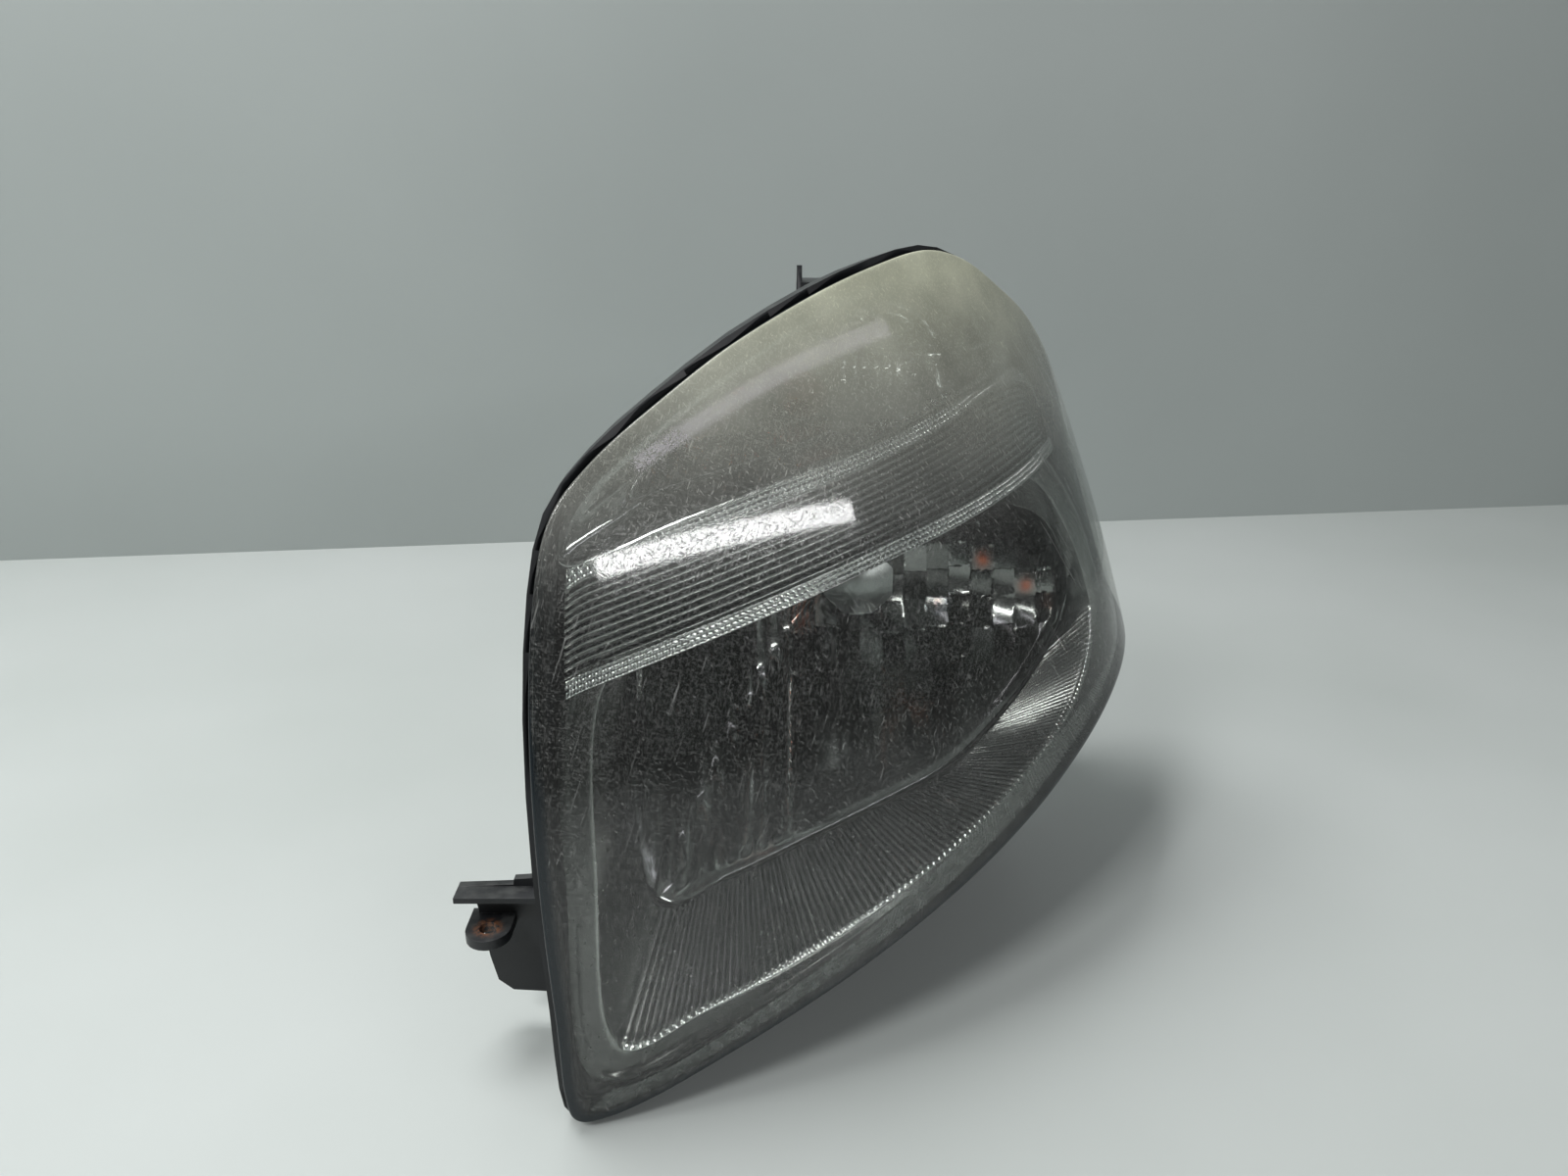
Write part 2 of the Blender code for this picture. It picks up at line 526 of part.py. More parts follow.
new_mesh("levelling_socket", socket((YAW_X, AIM_Y, SPINDLE_Z), 0.2120), WHITE, (YAW_X, AIM_Y, PITCH_Z))
new_mesh("levelling_spindle", ball_stud(YAW_X, AIM_Y, SPINDLE_Z, 0.3200), WHITE)
new_mesh("horizontal_rod", ball_stud(ROD_X, AIM_Y, PITCH_Z, 0.3310), STEEL)

motor = new_mesh("levelling_motor", lathe([(0.3004, 0), (0.3004, 0.0250), (0.3080, 0.0250), (0.3080,
    0.0220), (0.3420, 0.0215), (0.3420, 0)], "Y", (YAW_X, 0, SPINDLE_Z), 28), BLACK)
boolean(motor, "UNION", block((YAW_X - 0.0130, 0.3100, SPINDLE_Z - 0.0400), (YAW_X + 0.0130, 0.3330,
    SPINDLE_Z - 0.0100)))
boolean(motor, "DIFFERENCE", rod("Y", (YAW_X, 0, SPINDLE_Z), 0.0046, 0.2950, 0.3300, 16),
        block((YAW_X - 0.0105, 0.3130, SPINDLE_Z - 0.0450), (YAW_X + 0.0105, 0.3300, SPINDLE_Z - 0.0280)))
new_mesh("vertical_adjuster", lathe([(0.3424, 0), (0.3424, 0.0085), (0.3500, 0.0085), (0.3500, 0.0050),
    (0.3560, 0.0050), (0.3560, 0)], "Y", (YAW_X, 0, SPINDLE_Z), 12), WHITE, (YAW_X, 0.349, SPINDLE_Z))
gearbox = new_mesh("horizontal_gearbox", block((ROD_X - 0.0150, PAD_Y + GAP, PITCH_Z - 0.0140),
    (ROD_X + 0.0065, 0.3440, PITCH_Z + 0.0140)), BLACK)
boolean(gearbox, "DIFFERENCE", rod("Y", (ROD_X, 0, PITCH_Z), 0.0046, 0.2950, 0.3380, 16))
new_mesh("horizontal_adjuster", lathe([(0.3444, 0), (0.3444, 0.0085), (0.3520, 0.0085), (0.3520,
    0.0050), (0.3580, 0.0050), (0.3580, 0)], "Y", (ROD_X - 0.004, 0, PITCH_Z), 12), WHITE,
    (ROD_X - 0.004, 0.351, PITCH_Z))

# ---------------------------------------------------------------- direction indicator
turn_rim = [Vector((x, upper_back_y(x) + 0.0030, z)) for x, z in smooth(UPPER_BACK)]
new_mesh("turn_reflector", bowl(turn_rim, (TURN_X, TURN_Z), 0.0145, TURN_HOLE_Y, 1.6, 0.002), CHROME)
new_mesh("turn_bulb_glass", lathe([(0.1930, 0), (0.1945, 0.0065), (0.1990, 0.0110), (0.2050, 0.0126),
    (0.2120, 0.0124), (0.2190, 0.0095), (0.2250, 0.0075), (0.2290, 0.0072), (0.2290, 0)], "Y", (TURN_X,
    0, TURN_Z), 20), AMBER)
new_mesh("turn_bulb_cap", lathe([(0.2293, 0), (0.2293, 0.0075), (0.2470, 0.0075), (0.2470, 0)], "Y",
                                (TURN_X, 0, TURN_Z), 20), BRASS)
holder = new_mesh("turn_bulb_holder", lathe([(0.2478, 0), (0.2478, 0.0082), (0.2360, 0.0082), (0.2360,
    0.0108), (0.2560, 0.0112), (0.2960, 0.0150), (0.3036, 0.0150), (0.3036, 0.0210), (0.3070, 0.0210),
    (0.3070, 0.0130), (0.3085, 0.0100), (0.3085, 0)], "Y", (TURN_X, 0, TURN_Z), 24), GREY, (TURN_X,
    0.3053, TURN_Z))
boolean(holder, "UNION", block((TURN_X - 0.0022, 0.3000, TURN_Z - 0.0150), (TURN_X + 0.0022, 0.3200,
    TURN_Z + 0.0150)))
new_mesh("turn_holder_seal", lathe([(0.3004, 0.0155), (0.3032, 0.0155), (0.3032, 0.0205), (0.3004,
    0.0205)], "Y", (TURN_X, 0, TURN_Z), 28), RUBBER, (TURN_X, 0.3018, TURN_Z))

# ---------------------------------------------------------------- rear cover, inlet and vents
cover_y = TUNNEL_END + GAP
cover = new_mesh("main_bulb_cover", lathe([(cover_y + 0.0095, 0), (cover_y + 0.0095, 0.0340),
    (cover_y + 0.0055, 0.0375), (0.3120, 0.0375), (0.3120, 0.0400), (cover_y, 0.0400), (cover_y,
    0.0500), (cover_y + 0.0050, 0.0500), (cover_y + 0.0075, 0.0470), (cover_y + 0.0120, 0.0350),
    (cover_y + 0.0120, 0)], "Y", (BULB_X, 0, BULB_Z), 36), BLACK, (BULB_X, cover_y, BULB_Z))
boolean(cover, "UNION", block((BULB_X - 0.0300, cover_y + 0.0100, BULB_Z - 0.0025), (BULB_X + 0.0300,
    cover_y + 0.0230, BULB_Z + 0.0025)))
new_mesh("cover_seal", lathe([(0.3140, 0.0404), (0.3140, 0.0432), (0.3225, 0.0432), (0.3225, 0.0404)],
    "Y", (BULB_X, 0, BULB_Z), 36), RUBBER, (BULB_X, cover_y, BULB_Z))

INLET = (0.045, 0.070)
shell = new_mesh("electrical_inlet", block((INLET[0] - 0.0190, 0.3004, INLET[1] - 0.0110),
    (INLET[0] + 0.0190, 0.3260, INLET[1] + 0.0110)), GREY)
boolean(shell, "DIFFERENCE", block((INLET[0] - 0.0165, 0.3045, INLET[1] - 0.0085), (INLET[0] + 0.0165,
    0.3300, INLET[1] + 0.0085)))
for k in range(4):
    x = INLET[0] - 0.0105 + 0.0070 * k
    new_mesh("inlet_pin_{}".format(k + 1), block((x - 0.0010, 0.3049, INLET[1] - 0.0004), (x + 0.0010,
        0.3160, INLET[1] + 0.0004)), BRASS)

for name, x, z in (("breather_lower", 0.045, 0.205), ("breather_upper", 0.098, 0.248)):
    y = BACK_Y + GAP
    new_mesh(name, lathe([(y, 0), (y, 0.0060), (y + 0.0060, 0.0060), (y + 0.0060, 0.0090), (y + 0.0160,
        0.0085), (y + 0.0160, 0)], "Y", (x, 0, z), 18), RUBBER)

# ---------------------------------------------------------------- outside brackets
PLATE = [(-0.0600, 0.0820), (-0.0600, 0.0755), (-0.0520, 0.0730), (-0.0500, 0.0600), (-0.0480, 0.0420),
    (-0.0450, 0.0280), (-0.0380, 0.0220), (-0.0060, 0.0200), (-0.0060, 0.0880), (-0.0330, 0.0860),
    (-0.0335, 0.0830)]
bracket = new_mesh("inner_mount_bracket", slab(PLATE, "Y", 0.0700, 0.0740), BLACK)
ear = [(-0.0547, 0.0740)] + circle(-0.0440, 0.0580, 0.0107, 12, 180, 180) + [(-0.0333, 0.0740)]
boolean(bracket, "UNION", slab(ear, "Z", 0.0620, 0.0670),
        block((-0.0600, 0.0600, 0.0790), (-0.0060, 0.0720, 0.0820)),
        block((-0.0085, 0.0500, 0.0200), (-0.0042, 0.1000, 0.0880)),
        block((-0.0085, 0.0505, 0.0205), (-0.0012, 0.0995, 0.0500)))
boolean(bracket, "DIFFERENCE", rod("Z", (-0.0440, 0.0580, 0), 0.0042, 0.0500, 0.0750, 20),
        *[rod("X", (0, y, 0.0720), 0.0023, -0.0200, 0.0, 12) for y in (0.0590, 0.0900)])
for k, y in enumerate((0.0590, 0.0900), 1):
    new_mesh("bracket_screw_{}".format(k), lathe([(-0.0125, 0), (-0.0125, 0.0045), (-0.0088, 0.0050),
        (-0.0088, 0.0018), (-0.0040, 0.0018), (-0.0040, 0)], "X", (0, y, 0.0720), 14), STEEL)
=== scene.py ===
import json
import math

import bmesh
import bpy
import numpy as np
from mathutils import Matrix, Vector

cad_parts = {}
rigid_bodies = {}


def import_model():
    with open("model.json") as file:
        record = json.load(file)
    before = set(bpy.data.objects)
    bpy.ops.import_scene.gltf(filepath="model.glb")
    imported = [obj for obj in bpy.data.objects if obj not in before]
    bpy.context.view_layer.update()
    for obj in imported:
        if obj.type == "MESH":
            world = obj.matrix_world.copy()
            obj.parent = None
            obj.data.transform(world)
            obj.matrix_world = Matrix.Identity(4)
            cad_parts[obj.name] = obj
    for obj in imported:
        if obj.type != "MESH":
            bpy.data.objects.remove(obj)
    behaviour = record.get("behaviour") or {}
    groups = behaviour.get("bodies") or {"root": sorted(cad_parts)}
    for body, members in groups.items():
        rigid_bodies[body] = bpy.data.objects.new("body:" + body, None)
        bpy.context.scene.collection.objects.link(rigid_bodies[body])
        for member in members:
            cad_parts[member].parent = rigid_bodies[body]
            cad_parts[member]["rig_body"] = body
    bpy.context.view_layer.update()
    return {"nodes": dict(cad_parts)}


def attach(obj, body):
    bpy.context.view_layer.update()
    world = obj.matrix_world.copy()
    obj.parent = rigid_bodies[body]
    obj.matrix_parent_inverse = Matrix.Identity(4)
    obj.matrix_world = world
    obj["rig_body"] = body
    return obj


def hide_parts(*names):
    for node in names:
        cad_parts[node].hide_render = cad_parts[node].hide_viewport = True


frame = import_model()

# ---------------------------------------------------------------- sizes, metres
DATUM = np.array((-0.1266, -0.1859, -0.0006))   # the lens's inner lower corner, where sizes are taken from
WALL = 0.003                                    # lens
TRIM_WALL = 0.0018                              # trims and band
SKIRT = 0.014                                   # depth of the lens's skirt
BULB = (0.137, 0.190)                           # main bulb axis, x and z
TURN = (0.106, 0.293)                           # indicator bulb axis
REAR = np.array((0.0, 1.0, 0.0))                # towards the back of the car
BACK = 0.3000                                   # the flat back wall of the housing
COVER = 0.3254                                  # underside of the rear cover's rim

# Lens edge (section angle in degrees, height): along the bottom, up the outer end, back over the top.
LENS_EDGE = [(15.5, .0058), (17.2, .0053), (20, .0122), (25, .028), (32, .048), (41, .072), (50, .094),
             (59, .113), (69, .127), (80, .134), (89, .138), (92.3, .150), (92.8, .180), (92, .215),
             (90, .250), (84, .288), (75, .322), (66, .345), (59, .361), (52, .367), (44, .362),
             (36, .351), (28, .333), (21.5, .310), (17.3, .290), (14.9, .270), (14.1, .240), (14.0, .190),
             (14.4, .125), (14.9, .060), (15.0, .020)]
# Lower trim: front lip and outer edge (angle, height, depth under the lens), opening (x, height).
LOWER_LIP = [(18.2, .033, .013), (24, .0430, .013), (33, .064, .013), (42, .085, .013),
             (52, .1075, .013), (65, .1325, .013), (72, .152, .013), (74.5, .175, .013),
             (72.5, .215, .014), (67, .250, .019), (54, .2450, .020), (42, .2355, .020), (32, .2235, .020),
             (24, .2115, .020), (18.5, .1975, .017), (17.8, .115, .013)]
LOWER_OUT = [(16.6, .020, .010), (24, .0310, .010), (33, .0565, .010), (42, .0800, .010),
             (52, .1040, .010), (66, .1315, .010), (76, .147, .010), (83, .175, .010), (80, .215, .012),
             (74, .2550, .019), (55, .2500, .020), (42, .2400, .020), (32, .2280, .020), (24, .2160, .020),
             (16.4, .2000, .016), (16.0, .110, .010)]
LOWER_BACK = [(.036, .0730), (.066, .0770), (.104, .0838), (.144, .0880), (.184, .0915), (.216, .1055),
              (.242, .1235), (.263, .1490), (.262, .1820), (.240, .2210), (.200, .2400), (.150, .2360),
              (.112, .2270), (.074, .2150), (.030, .1985), (.027, .1350)]
# Ribbed band between the chambers: (angle, bottom height, top height).
BAND = [(16.2, .2005, .246), (18, .205, .252), (24, .2155, .262), (32, .2275, .273), (42, .2395, .284),
        (52, .2475, .294), (62, .253, .303), (72, .2555, .300), (80, .253, .288), (85, .2495, .272)]
# Upper trim: front lip and outer edge (angle, height, depth under the lens), opening (x, height).
UPPER_LIP = [(17.5, .258, .013), (24, .269, .013), (33, .281, .013), (43, .2915, .013),
             (53, .302, .013), (63, .311, .013), (65, .324, .013), (59, .341, .013), (50, .352, .013),
             (40, .343, .013), (31, .324, .013), (24, .302, .013), (19, .281, .013), (17, .269, .013)]
UPPER_OUT = [(16.4, .2515, .010), (24, .265, .010), (33, .2775, .010), (43, .288, .010),
             (53, .298, .010), (65, .306, .010), (70, .322, .010), (61, .351, .010), (51, .3605, .010),
             (40, .352, .010), (31, .334, .010), (24, .3125, .010), (18, .287, .010), (15.8, .268, .010)]
UPPER_BACK = [(.030, .268), (.052, .270), (.085, .272), (.115, .276), (.145, .284), (.176, .297),
              (.184, .307), (.174, .320), (.153, .329), (.125, .326), (.095, .315), (.066, .301),
              (.043, .287), (.030, .277)]


# ---------------------------------------------------------------- shapes of the lamp
def lens_face(phi, z, inset=0.0):
    """Points on the outer lens surface, or that far inside it."""
    def at(p, h):
        a = np.radians(p)
        a0 = math.radians(15.0)
        width = 0.468 - 0.21 * h - 0.66 * h * h
        depth = 0.344 - 0.163 * h
        return np.stack([-0.16 * h * (0.267 - h) + width * (np.sin(a) - math.sin(a0)),
                         0.70 * h * h + depth * (math.cos(a0) - np.cos(a)), h], -1)
    inward = unit(np.cross(at(phi, z + 0.002) - at(phi, z - 0.002), at(phi + 0.5, z) - at(phi - 0.5, z)))
    return at(phi, z) + inward * np.reshape(inset, (-1, 1))


def unit(v):
    """Vectors made one long."""
    return v / np.maximum(np.linalg.norm(v, axis=-1, keepdims=True), 1e-12)


def through(stations, t, closed=True):
    """Smooth curve through the stations, for t from 0 to 1."""
    s = np.asarray(stations, float)
    n = len(s)
    x = (t % 1.0) * n if closed else np.clip(t, 0.0, 1.0) * (n - 1)
    i = np.minimum(np.floor(x).astype(int), n - 1 if closed else n - 2)
    f = (x - i)[:, None]
    a, b, c, d = (s[(i + k) % n] if closed else s[np.clip(i + k, 0, n - 1)] for k in (-1, 0, 1, 2))
    return b + 0.5 * f * (c - a + f * (2 * a - 5 * b + 4 * c - d + f * (3 * (b - c) + d - a)))


def lengthwise(curve):
    """Distance along curve(t) as a function of t."""
    t = np.linspace(0.0, 1.0, 1601)
    run = np.concatenate([[0.0], np.cumsum(np.linalg.norm(np.diff(curve(t), axis=0), axis=1))])
    return lambda u: np.interp(u, t, run)


def sideways(curve, t, way):
    """Outward unit vectors round a curve that runs anticlockwise seen from the front."""
    return -unit(np.cross(curve(t + 1e-3) - curve(t - 1e-3), way))


def blend(v, *stops):
    """Points at v on the straight runs between (v, points) stops."""
    out = stops[0][1].copy()
    for (v0, p0), (v1, p1) in zip(stops, stops[1:]):
        f = np.clip((v - v0) / (v1 - v0), 0.0, 1.0)[:, None]
        out = np.where(v[:, None] > v0, p0 + (p1 - p0) * f, out)
    return out


def soft_step(x, low, high):
    """0 below low, 1 above high, smooth between."""
    f = np.clip((x - low) / (high - low), 0.0, 1.0)
    return f * f * (3.0 - 2.0 * f)


def lens_edge(t):
    """The lens's edge, for t from 0 to 1."""
    return lens_face(*through(LENS_EDGE, t).T)


def skirt_way(t):
    """Straight back on the face of the lamp, turning inward where the lens wraps round the wing."""
    phi, z = through(LENS_EDGE, t).T
    w = np.clip((phi - 35.0) / 35.0, 0.0, 1.0)[:, None]
    inward = unit(lens_face(phi, z, 0.01) - lens_face(phi, z))
    return unit(REAR * (1.0 - w) + inward * w)


def lower_back_y(x):
    """Depth of the opening over the main reflector."""
    return 0.070 + 0.42 * (x - 0.04) + 1.7 * (x - 0.04) ** 2


def upper_back_y(x):
    """Depth of the opening over the indicator reflector."""
    return 0.085 + 1.07 * (x - 0.03)


def lens_sheet(u, v):
    """The lens from its middle to its edge, then back along its skirt."""
    edge = lens_edge(u)
    way = skirt_way(u)
    mid = np.array((46.0, 0.205))
    far = through(LENS_EDGE, u)
    width = np.linalg.norm(edge - lens_face(*mid[:, None]), axis=1)
    reach = np.minimum(v / 0.84, 1.0) * (1.0 - 0.0016 / width)
    face = lens_face(*(mid + (far - mid) * reach[:, None]).T)
    shoulder = lens_face(*(mid + (far - mid) * (1.0 - 0.0016 / width)[:, None]).T)
    w = np.clip((v - 0.84) / 0.06, 0.0, 1.0)[:, None]
    turn = shoulder * (1 - w) ** 2 + edge * 2 * w * (1 - w) + (edge + way * 0.0016) * w * w
    skirt = edge + way * np.interp(v, (0.9, 1.0), (0.0016, SKIRT))[:, None]
    return np.where(v[:, None] < 0.84, face, np.where(v[:, None] < 0.9, turn, skirt))


def trim_sheet(lip, outer, opening, back_y):
    """Trim frame: a front rim, a rolled lip and a wall back to the opening."""
    def sheet(u, v):
        rim = lens_face(*through(outer, u).T)
        front = lens_face(*through(lip, u).T)
        x, z = through(opening, u).T
        hole = np.stack([x, back_y(x), z], -1)
        return blend(v, (0.0, rim), (0.2, front), (1.0, hole))
    return sheet


def band_sheet(u, v):
    """The band between the chambers, slightly hollow across its height."""
    phi, low, high = through(BAND, u, closed=False).T
    return lens_face(phi, low + (high - low) * v, 0.0155 + 0.010 * v * (1.0 - v))


def bowl_sheet(opening, back_y, out, centre, hole_r, hole_y, power):
    """Reflector bowl, from its round bulb hole to its rim."""
    def rim(u):
        x, z = through(opening, u).T
        return np.stack([x, back_y(x), z], -1)

    def sheet(u, v):
        p = rim(u) + sideways(rim, u, REAR) * out
        a = np.arctan2(p[:, 2] - centre[1], p[:, 0] - centre[0])
        q = np.stack([centre[0] + hole_r * np.cos(a), np.full_like(a, hole_y),
                      centre[1] + hole_r * np.sin(a)], -1)
        f = v[:, None]
        s = q + (p - q) * f
        s[:, 1] = q[:, 1] + (p[:, 1] - q[:, 1]) * v ** power
        return s
    return sheet


def raised(sheet, relief, side=1.0):
    """A sheet with relief(u, v, points) metres added square to it."""
    def shape(u, v):
        p = sheet(u, v)
        e = 2e-4
        n = unit(np.cross(sheet(u + e, v) - sheet(u - e, v), sheet(u, v + e) - sheet(u, v - e)))
        return p + n * (side * relief(u, v, p))[:, None]
    return shape


# ---------------------------------------------------------------- making pieces
def finished(name, bm, body, finish, stands_for=(), face=None, sharp=35.0, wall=0.0, inside=None):
    """Turns a mesh in design sizes into a piece that rides on a body."""
    bmesh.ops.remove_doubles(bm, verts=bm.verts[:], dist=4e-6)
    bmesh.ops.recalc_face_normals(bm, faces=bm.faces[:])
    if face is not None:
        facing = sum((f.normal * f.calc_area() for f in bm.faces), Vector()).dot(Vector(face))
        if facing < 0.0:
            bmesh.ops.reverse_faces(bm, faces=bm.faces[:])
    bmesh.ops.translate(bm, verts=bm.verts[:], vec=Vector(DATUM))
    mesh = bpy.data.meshes.new(name)
    bm.to_mesh(mesh)
    bm.free()
    mesh.materials.append(finish)
    mesh.shade_smooth()
    mesh.set_sharp_from_angle(angle=math.radians(sharp))
    piece = bpy.data.objects.new(name, mesh)
    bpy.context.scene.collection.objects.link(piece)
    if wall:
        thick = piece.modifiers.new("wall", "SOLIDIFY")
        thick.thickness = wall
        thick.offset = -1.0
        if inside:
            mesh.materials.append(inside)
            thick.material_offset = 1
    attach(piece, body)
    if stands_for:
        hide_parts(*stands_for)
    return piece


def formed(cols, rows, shape, **tones):
    """A flat grid pressed to shape(u, v), both 0 to 1; each tone(u, v, points) is kept as an attribute."""
    bm = bmesh.new()
    bmesh.ops.create_grid(bm, x_segments=cols, y_segments=rows, size=0.5)
    flat = np.array([v.co[:2] for v in bm.verts], float)
    u, v = flat[:, 0] + 0.5, flat[:, 1] + 0.5
    points = shape(u, v)
    for vert, p in zip(bm.verts, points):
        vert.co = p
    for name, tone in tones.items():
        layer = bm.verts.layers.float.new(name)
        for vert, value in zip(bm.verts, tone(u, v, points)):
            vert[layer] = value
    return bm


def turned(profile, centre, steps=96, lobes=0, lobed_from=0.0, lobe=0.0):
    """A profile of (y, radius), from axis to axis, turned about an axis along Y; its rim may have lobes."""
    bm = bmesh.new()
    verts = [bm.verts.new((r, along, 0.0)) for along, r in profile]
    edges = [bm.edges.new(pair) for pair in zip(verts, verts[1:])]
    bmesh.ops.spin(bm, geom=verts + edges, cent=(0, 0, 0), axis=(0, 1, 0), angle=math.tau, steps=steps,
                   use_merge=True)
    bmesh.ops.remove_doubles(bm, verts=bm.verts[:], dist=1e-6)
    for vert in bm.verts:
        if lobes and math.hypot(vert.co.x, vert.co.z) > lobed_from:
            grow = 1.0 + lobe * math.cos(lobes * math.atan2(vert.co.z, vert.co.x))
            vert.co.x *= grow
            vert.co.z *= grow
    bmesh.ops.translate(bm, verts=bm.verts[:], vec=(centre[0], 0.0, centre[1]))
    return bm


def add_bar(bm, low, high, edge=0.0005):
    """A bar with broken edges between two corners."""
    size = [b - a for a, b in zip(low, high)]
    made = bmesh.ops.create_cube(bm, size=1.0)["verts"]
    bmesh.ops.scale(bm, verts=made, vec=size)
    bmesh.ops.translate(bm, verts=made, vec=[(a + b) / 2.0 for a, b in zip(low, high)])
    edges = list({e for vert in made for e in vert.link_edges})
    bmesh.ops.bevel(bm, geom=edges, offset=edge, segments=2, profile=0.5, affect="EDGES", material=-1)
    return bm


def broken_edges(piece, width, segments=2, angle=40.0):
    """Small rounds on the sharp edges."""
    round_off = piece.modifiers.new("edge_round", "BEVEL")
    round_off.width = width
    round_off.segments = segments
    round_off.limit_method = "ANGLE"
    round_off.angle_limit = math.radians(angle)


def smoothed(node, finish, width=0.0003, sharp=32.0):
    """A copy of a node's solid with its facets shaded round and its edges broken."""
    bm = bmesh.new()
    bm.from_mesh(frame["nodes"][node].data)
    bmesh.ops.remove_doubles(bm, verts=bm.verts[:], dist=2e-6)
    bmesh.ops.dissolve_limit(bm, angle_limit=math.radians(0.5), verts=bm.verts[:], edges=bm.edges[:])
    bmesh.ops.translate(bm, verts=bm.verts[:], vec=-Vector(DATUM))
    body = frame["nodes"][node]["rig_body"]
    piece = finished(node + "_part", bm, body, finish, (node,), sharp=sharp)
    if width:
        broken_edges(piece, width)
    even = piece.modifiers.new("even_shading", "WEIGHTED_NORMAL")
    even.keep_sharp = True


# ---------------------------------------------------------------- finishes
def linear(code):
    """An sRGB hex colour as linear RGBA."""
    parts = [int(code[i:i + 2], 16) / 255.0 for i in (1, 3, 5)]
    return (*(c / 12.92 if c <= 0.04045 else ((c + 0.055) / 1.055) ** 2.4 for c in parts), 1.0)


def add(tree, kind, settings=None, inputs=None):
    """A node with its settings, its socket values and the sockets that feed it."""
    made = tree.nodes.new("ShaderNode" + kind)
    for key, value in (settings or {}).items():
        setattr(made, key, value)
    for key, value in (inputs or {}).items():
        if isinstance(value, bpy.types.NodeSocket):
            tree.links.new(value, made.inputs[key])
        else:
            made.inputs[key].default_value = value
    return made


def new_finish(name):
    """An empty finish, and the object's own coordinates for its patterns."""
    made = bpy.data.materials.new(name)
    made.use_nodes = True
    tree = made.node_tree
    where = add(tree, "TexCoord").outputs["Object"]
    return made, tree, tree.nodes["Principled BSDF"], where


def speckle(tree, where, size_mm, low, high, detail=3.0):
    """Noise of a real size, as a 0 to 1 mask between two levels."""
    noise = add(tree, "TexNoise", None, {"Vector": where, "Scale": 1000.0 / size_mm, "Detail": detail})
    return add(tree, "MapRange", None, {"Value": noise.outputs["Fac"], "From Min": low, "From Max": high})


def moulded(name, deep, worn, rough, grain_mm, grain_depth, dust="#8a8c88", dust_amount=0.12):
    """Injection moulding: fine tool grain, slightly cloudy colour, dust lying on its upward faces."""
    made, tree, shader, where = new_finish(name)
    cloud = speckle(tree, where, 30.0, 0.35, 0.7)
    colour = add(tree, "MixRGB", None, {0: cloud.outputs[0], 1: linear(deep), 2: linear(worn)})
    up = add(tree, "SeparateXYZ", None, {0: add(tree, "NewGeometry").outputs["Normal"]})
    lying = add(tree, "MapRange", None, {"Value": up.outputs["Z"], "From Min": 0.2, "From Max": 1.0,
                                         "To Max": dust_amount})
    patchy = speckle(tree, where, 9.0, 0.42, 0.62)
    film = add(tree, "Math", {"operation": "MULTIPLY"}, {0: lying.outputs[0], 1: patchy.outputs[0]})
    dusty = add(tree, "MixRGB", None, {0: film.outputs[0], 1: colour.outputs[0], 2: linear(dust)})
    tree.links.new(dusty.outputs[0], shader.inputs["Base Color"])
    gloss = add(tree, "MapRange", None, {"Value": cloud.outputs[0], "To Min": rough - 0.06,
                                         "To Max": rough + 0.08})
    tree.links.new(gloss.outputs[0], shader.inputs["Roughness"])
    grain = add(tree, "TexNoise", None, {"Vector": where, "Scale": 1000.0 / grain_mm, "Detail": 2.0})
    bump = add(tree, "Bump", None, {"Height": grain.outputs["Fac"], "Distance": grain_depth, "Strength": 0.6})
    tree.links.new(bump.outputs[0], shader.inputs["Normal"])
    return made


def rusted(made, centre, reach):
    """Rusty dust lying round a hole in a finish."""
    tree = made.node_tree
    shader = tree.nodes["Principled BSDF"]
    where = tree.nodes["Texture Coordinate"].outputs["Object"]
    away = add(tree, "VectorMath", {"operation": "DISTANCE"}, {0: where, 1: centre}).outputs["Value"]
    near = add(tree, "MapRange", None, {"Value": away, "From Min": reach, "From Max": reach * 0.4})
    patchy = speckle(tree, where, 1.6, 0.40, 0.60)
    film = add(tree, "Math", {"operation": "MULTIPLY"}, {0: near.outputs[0], 1: patchy.outputs[0]})
    under = shader.inputs["Base Color"].links[0].from_socket
    mixed = add(tree, "MixRGB", None, {0: film.outputs[0], 1: under, 2: linear("#7a5138")})
    tree.links.new(mixed.outputs[0], shader.inputs["Base Color"])
    return made


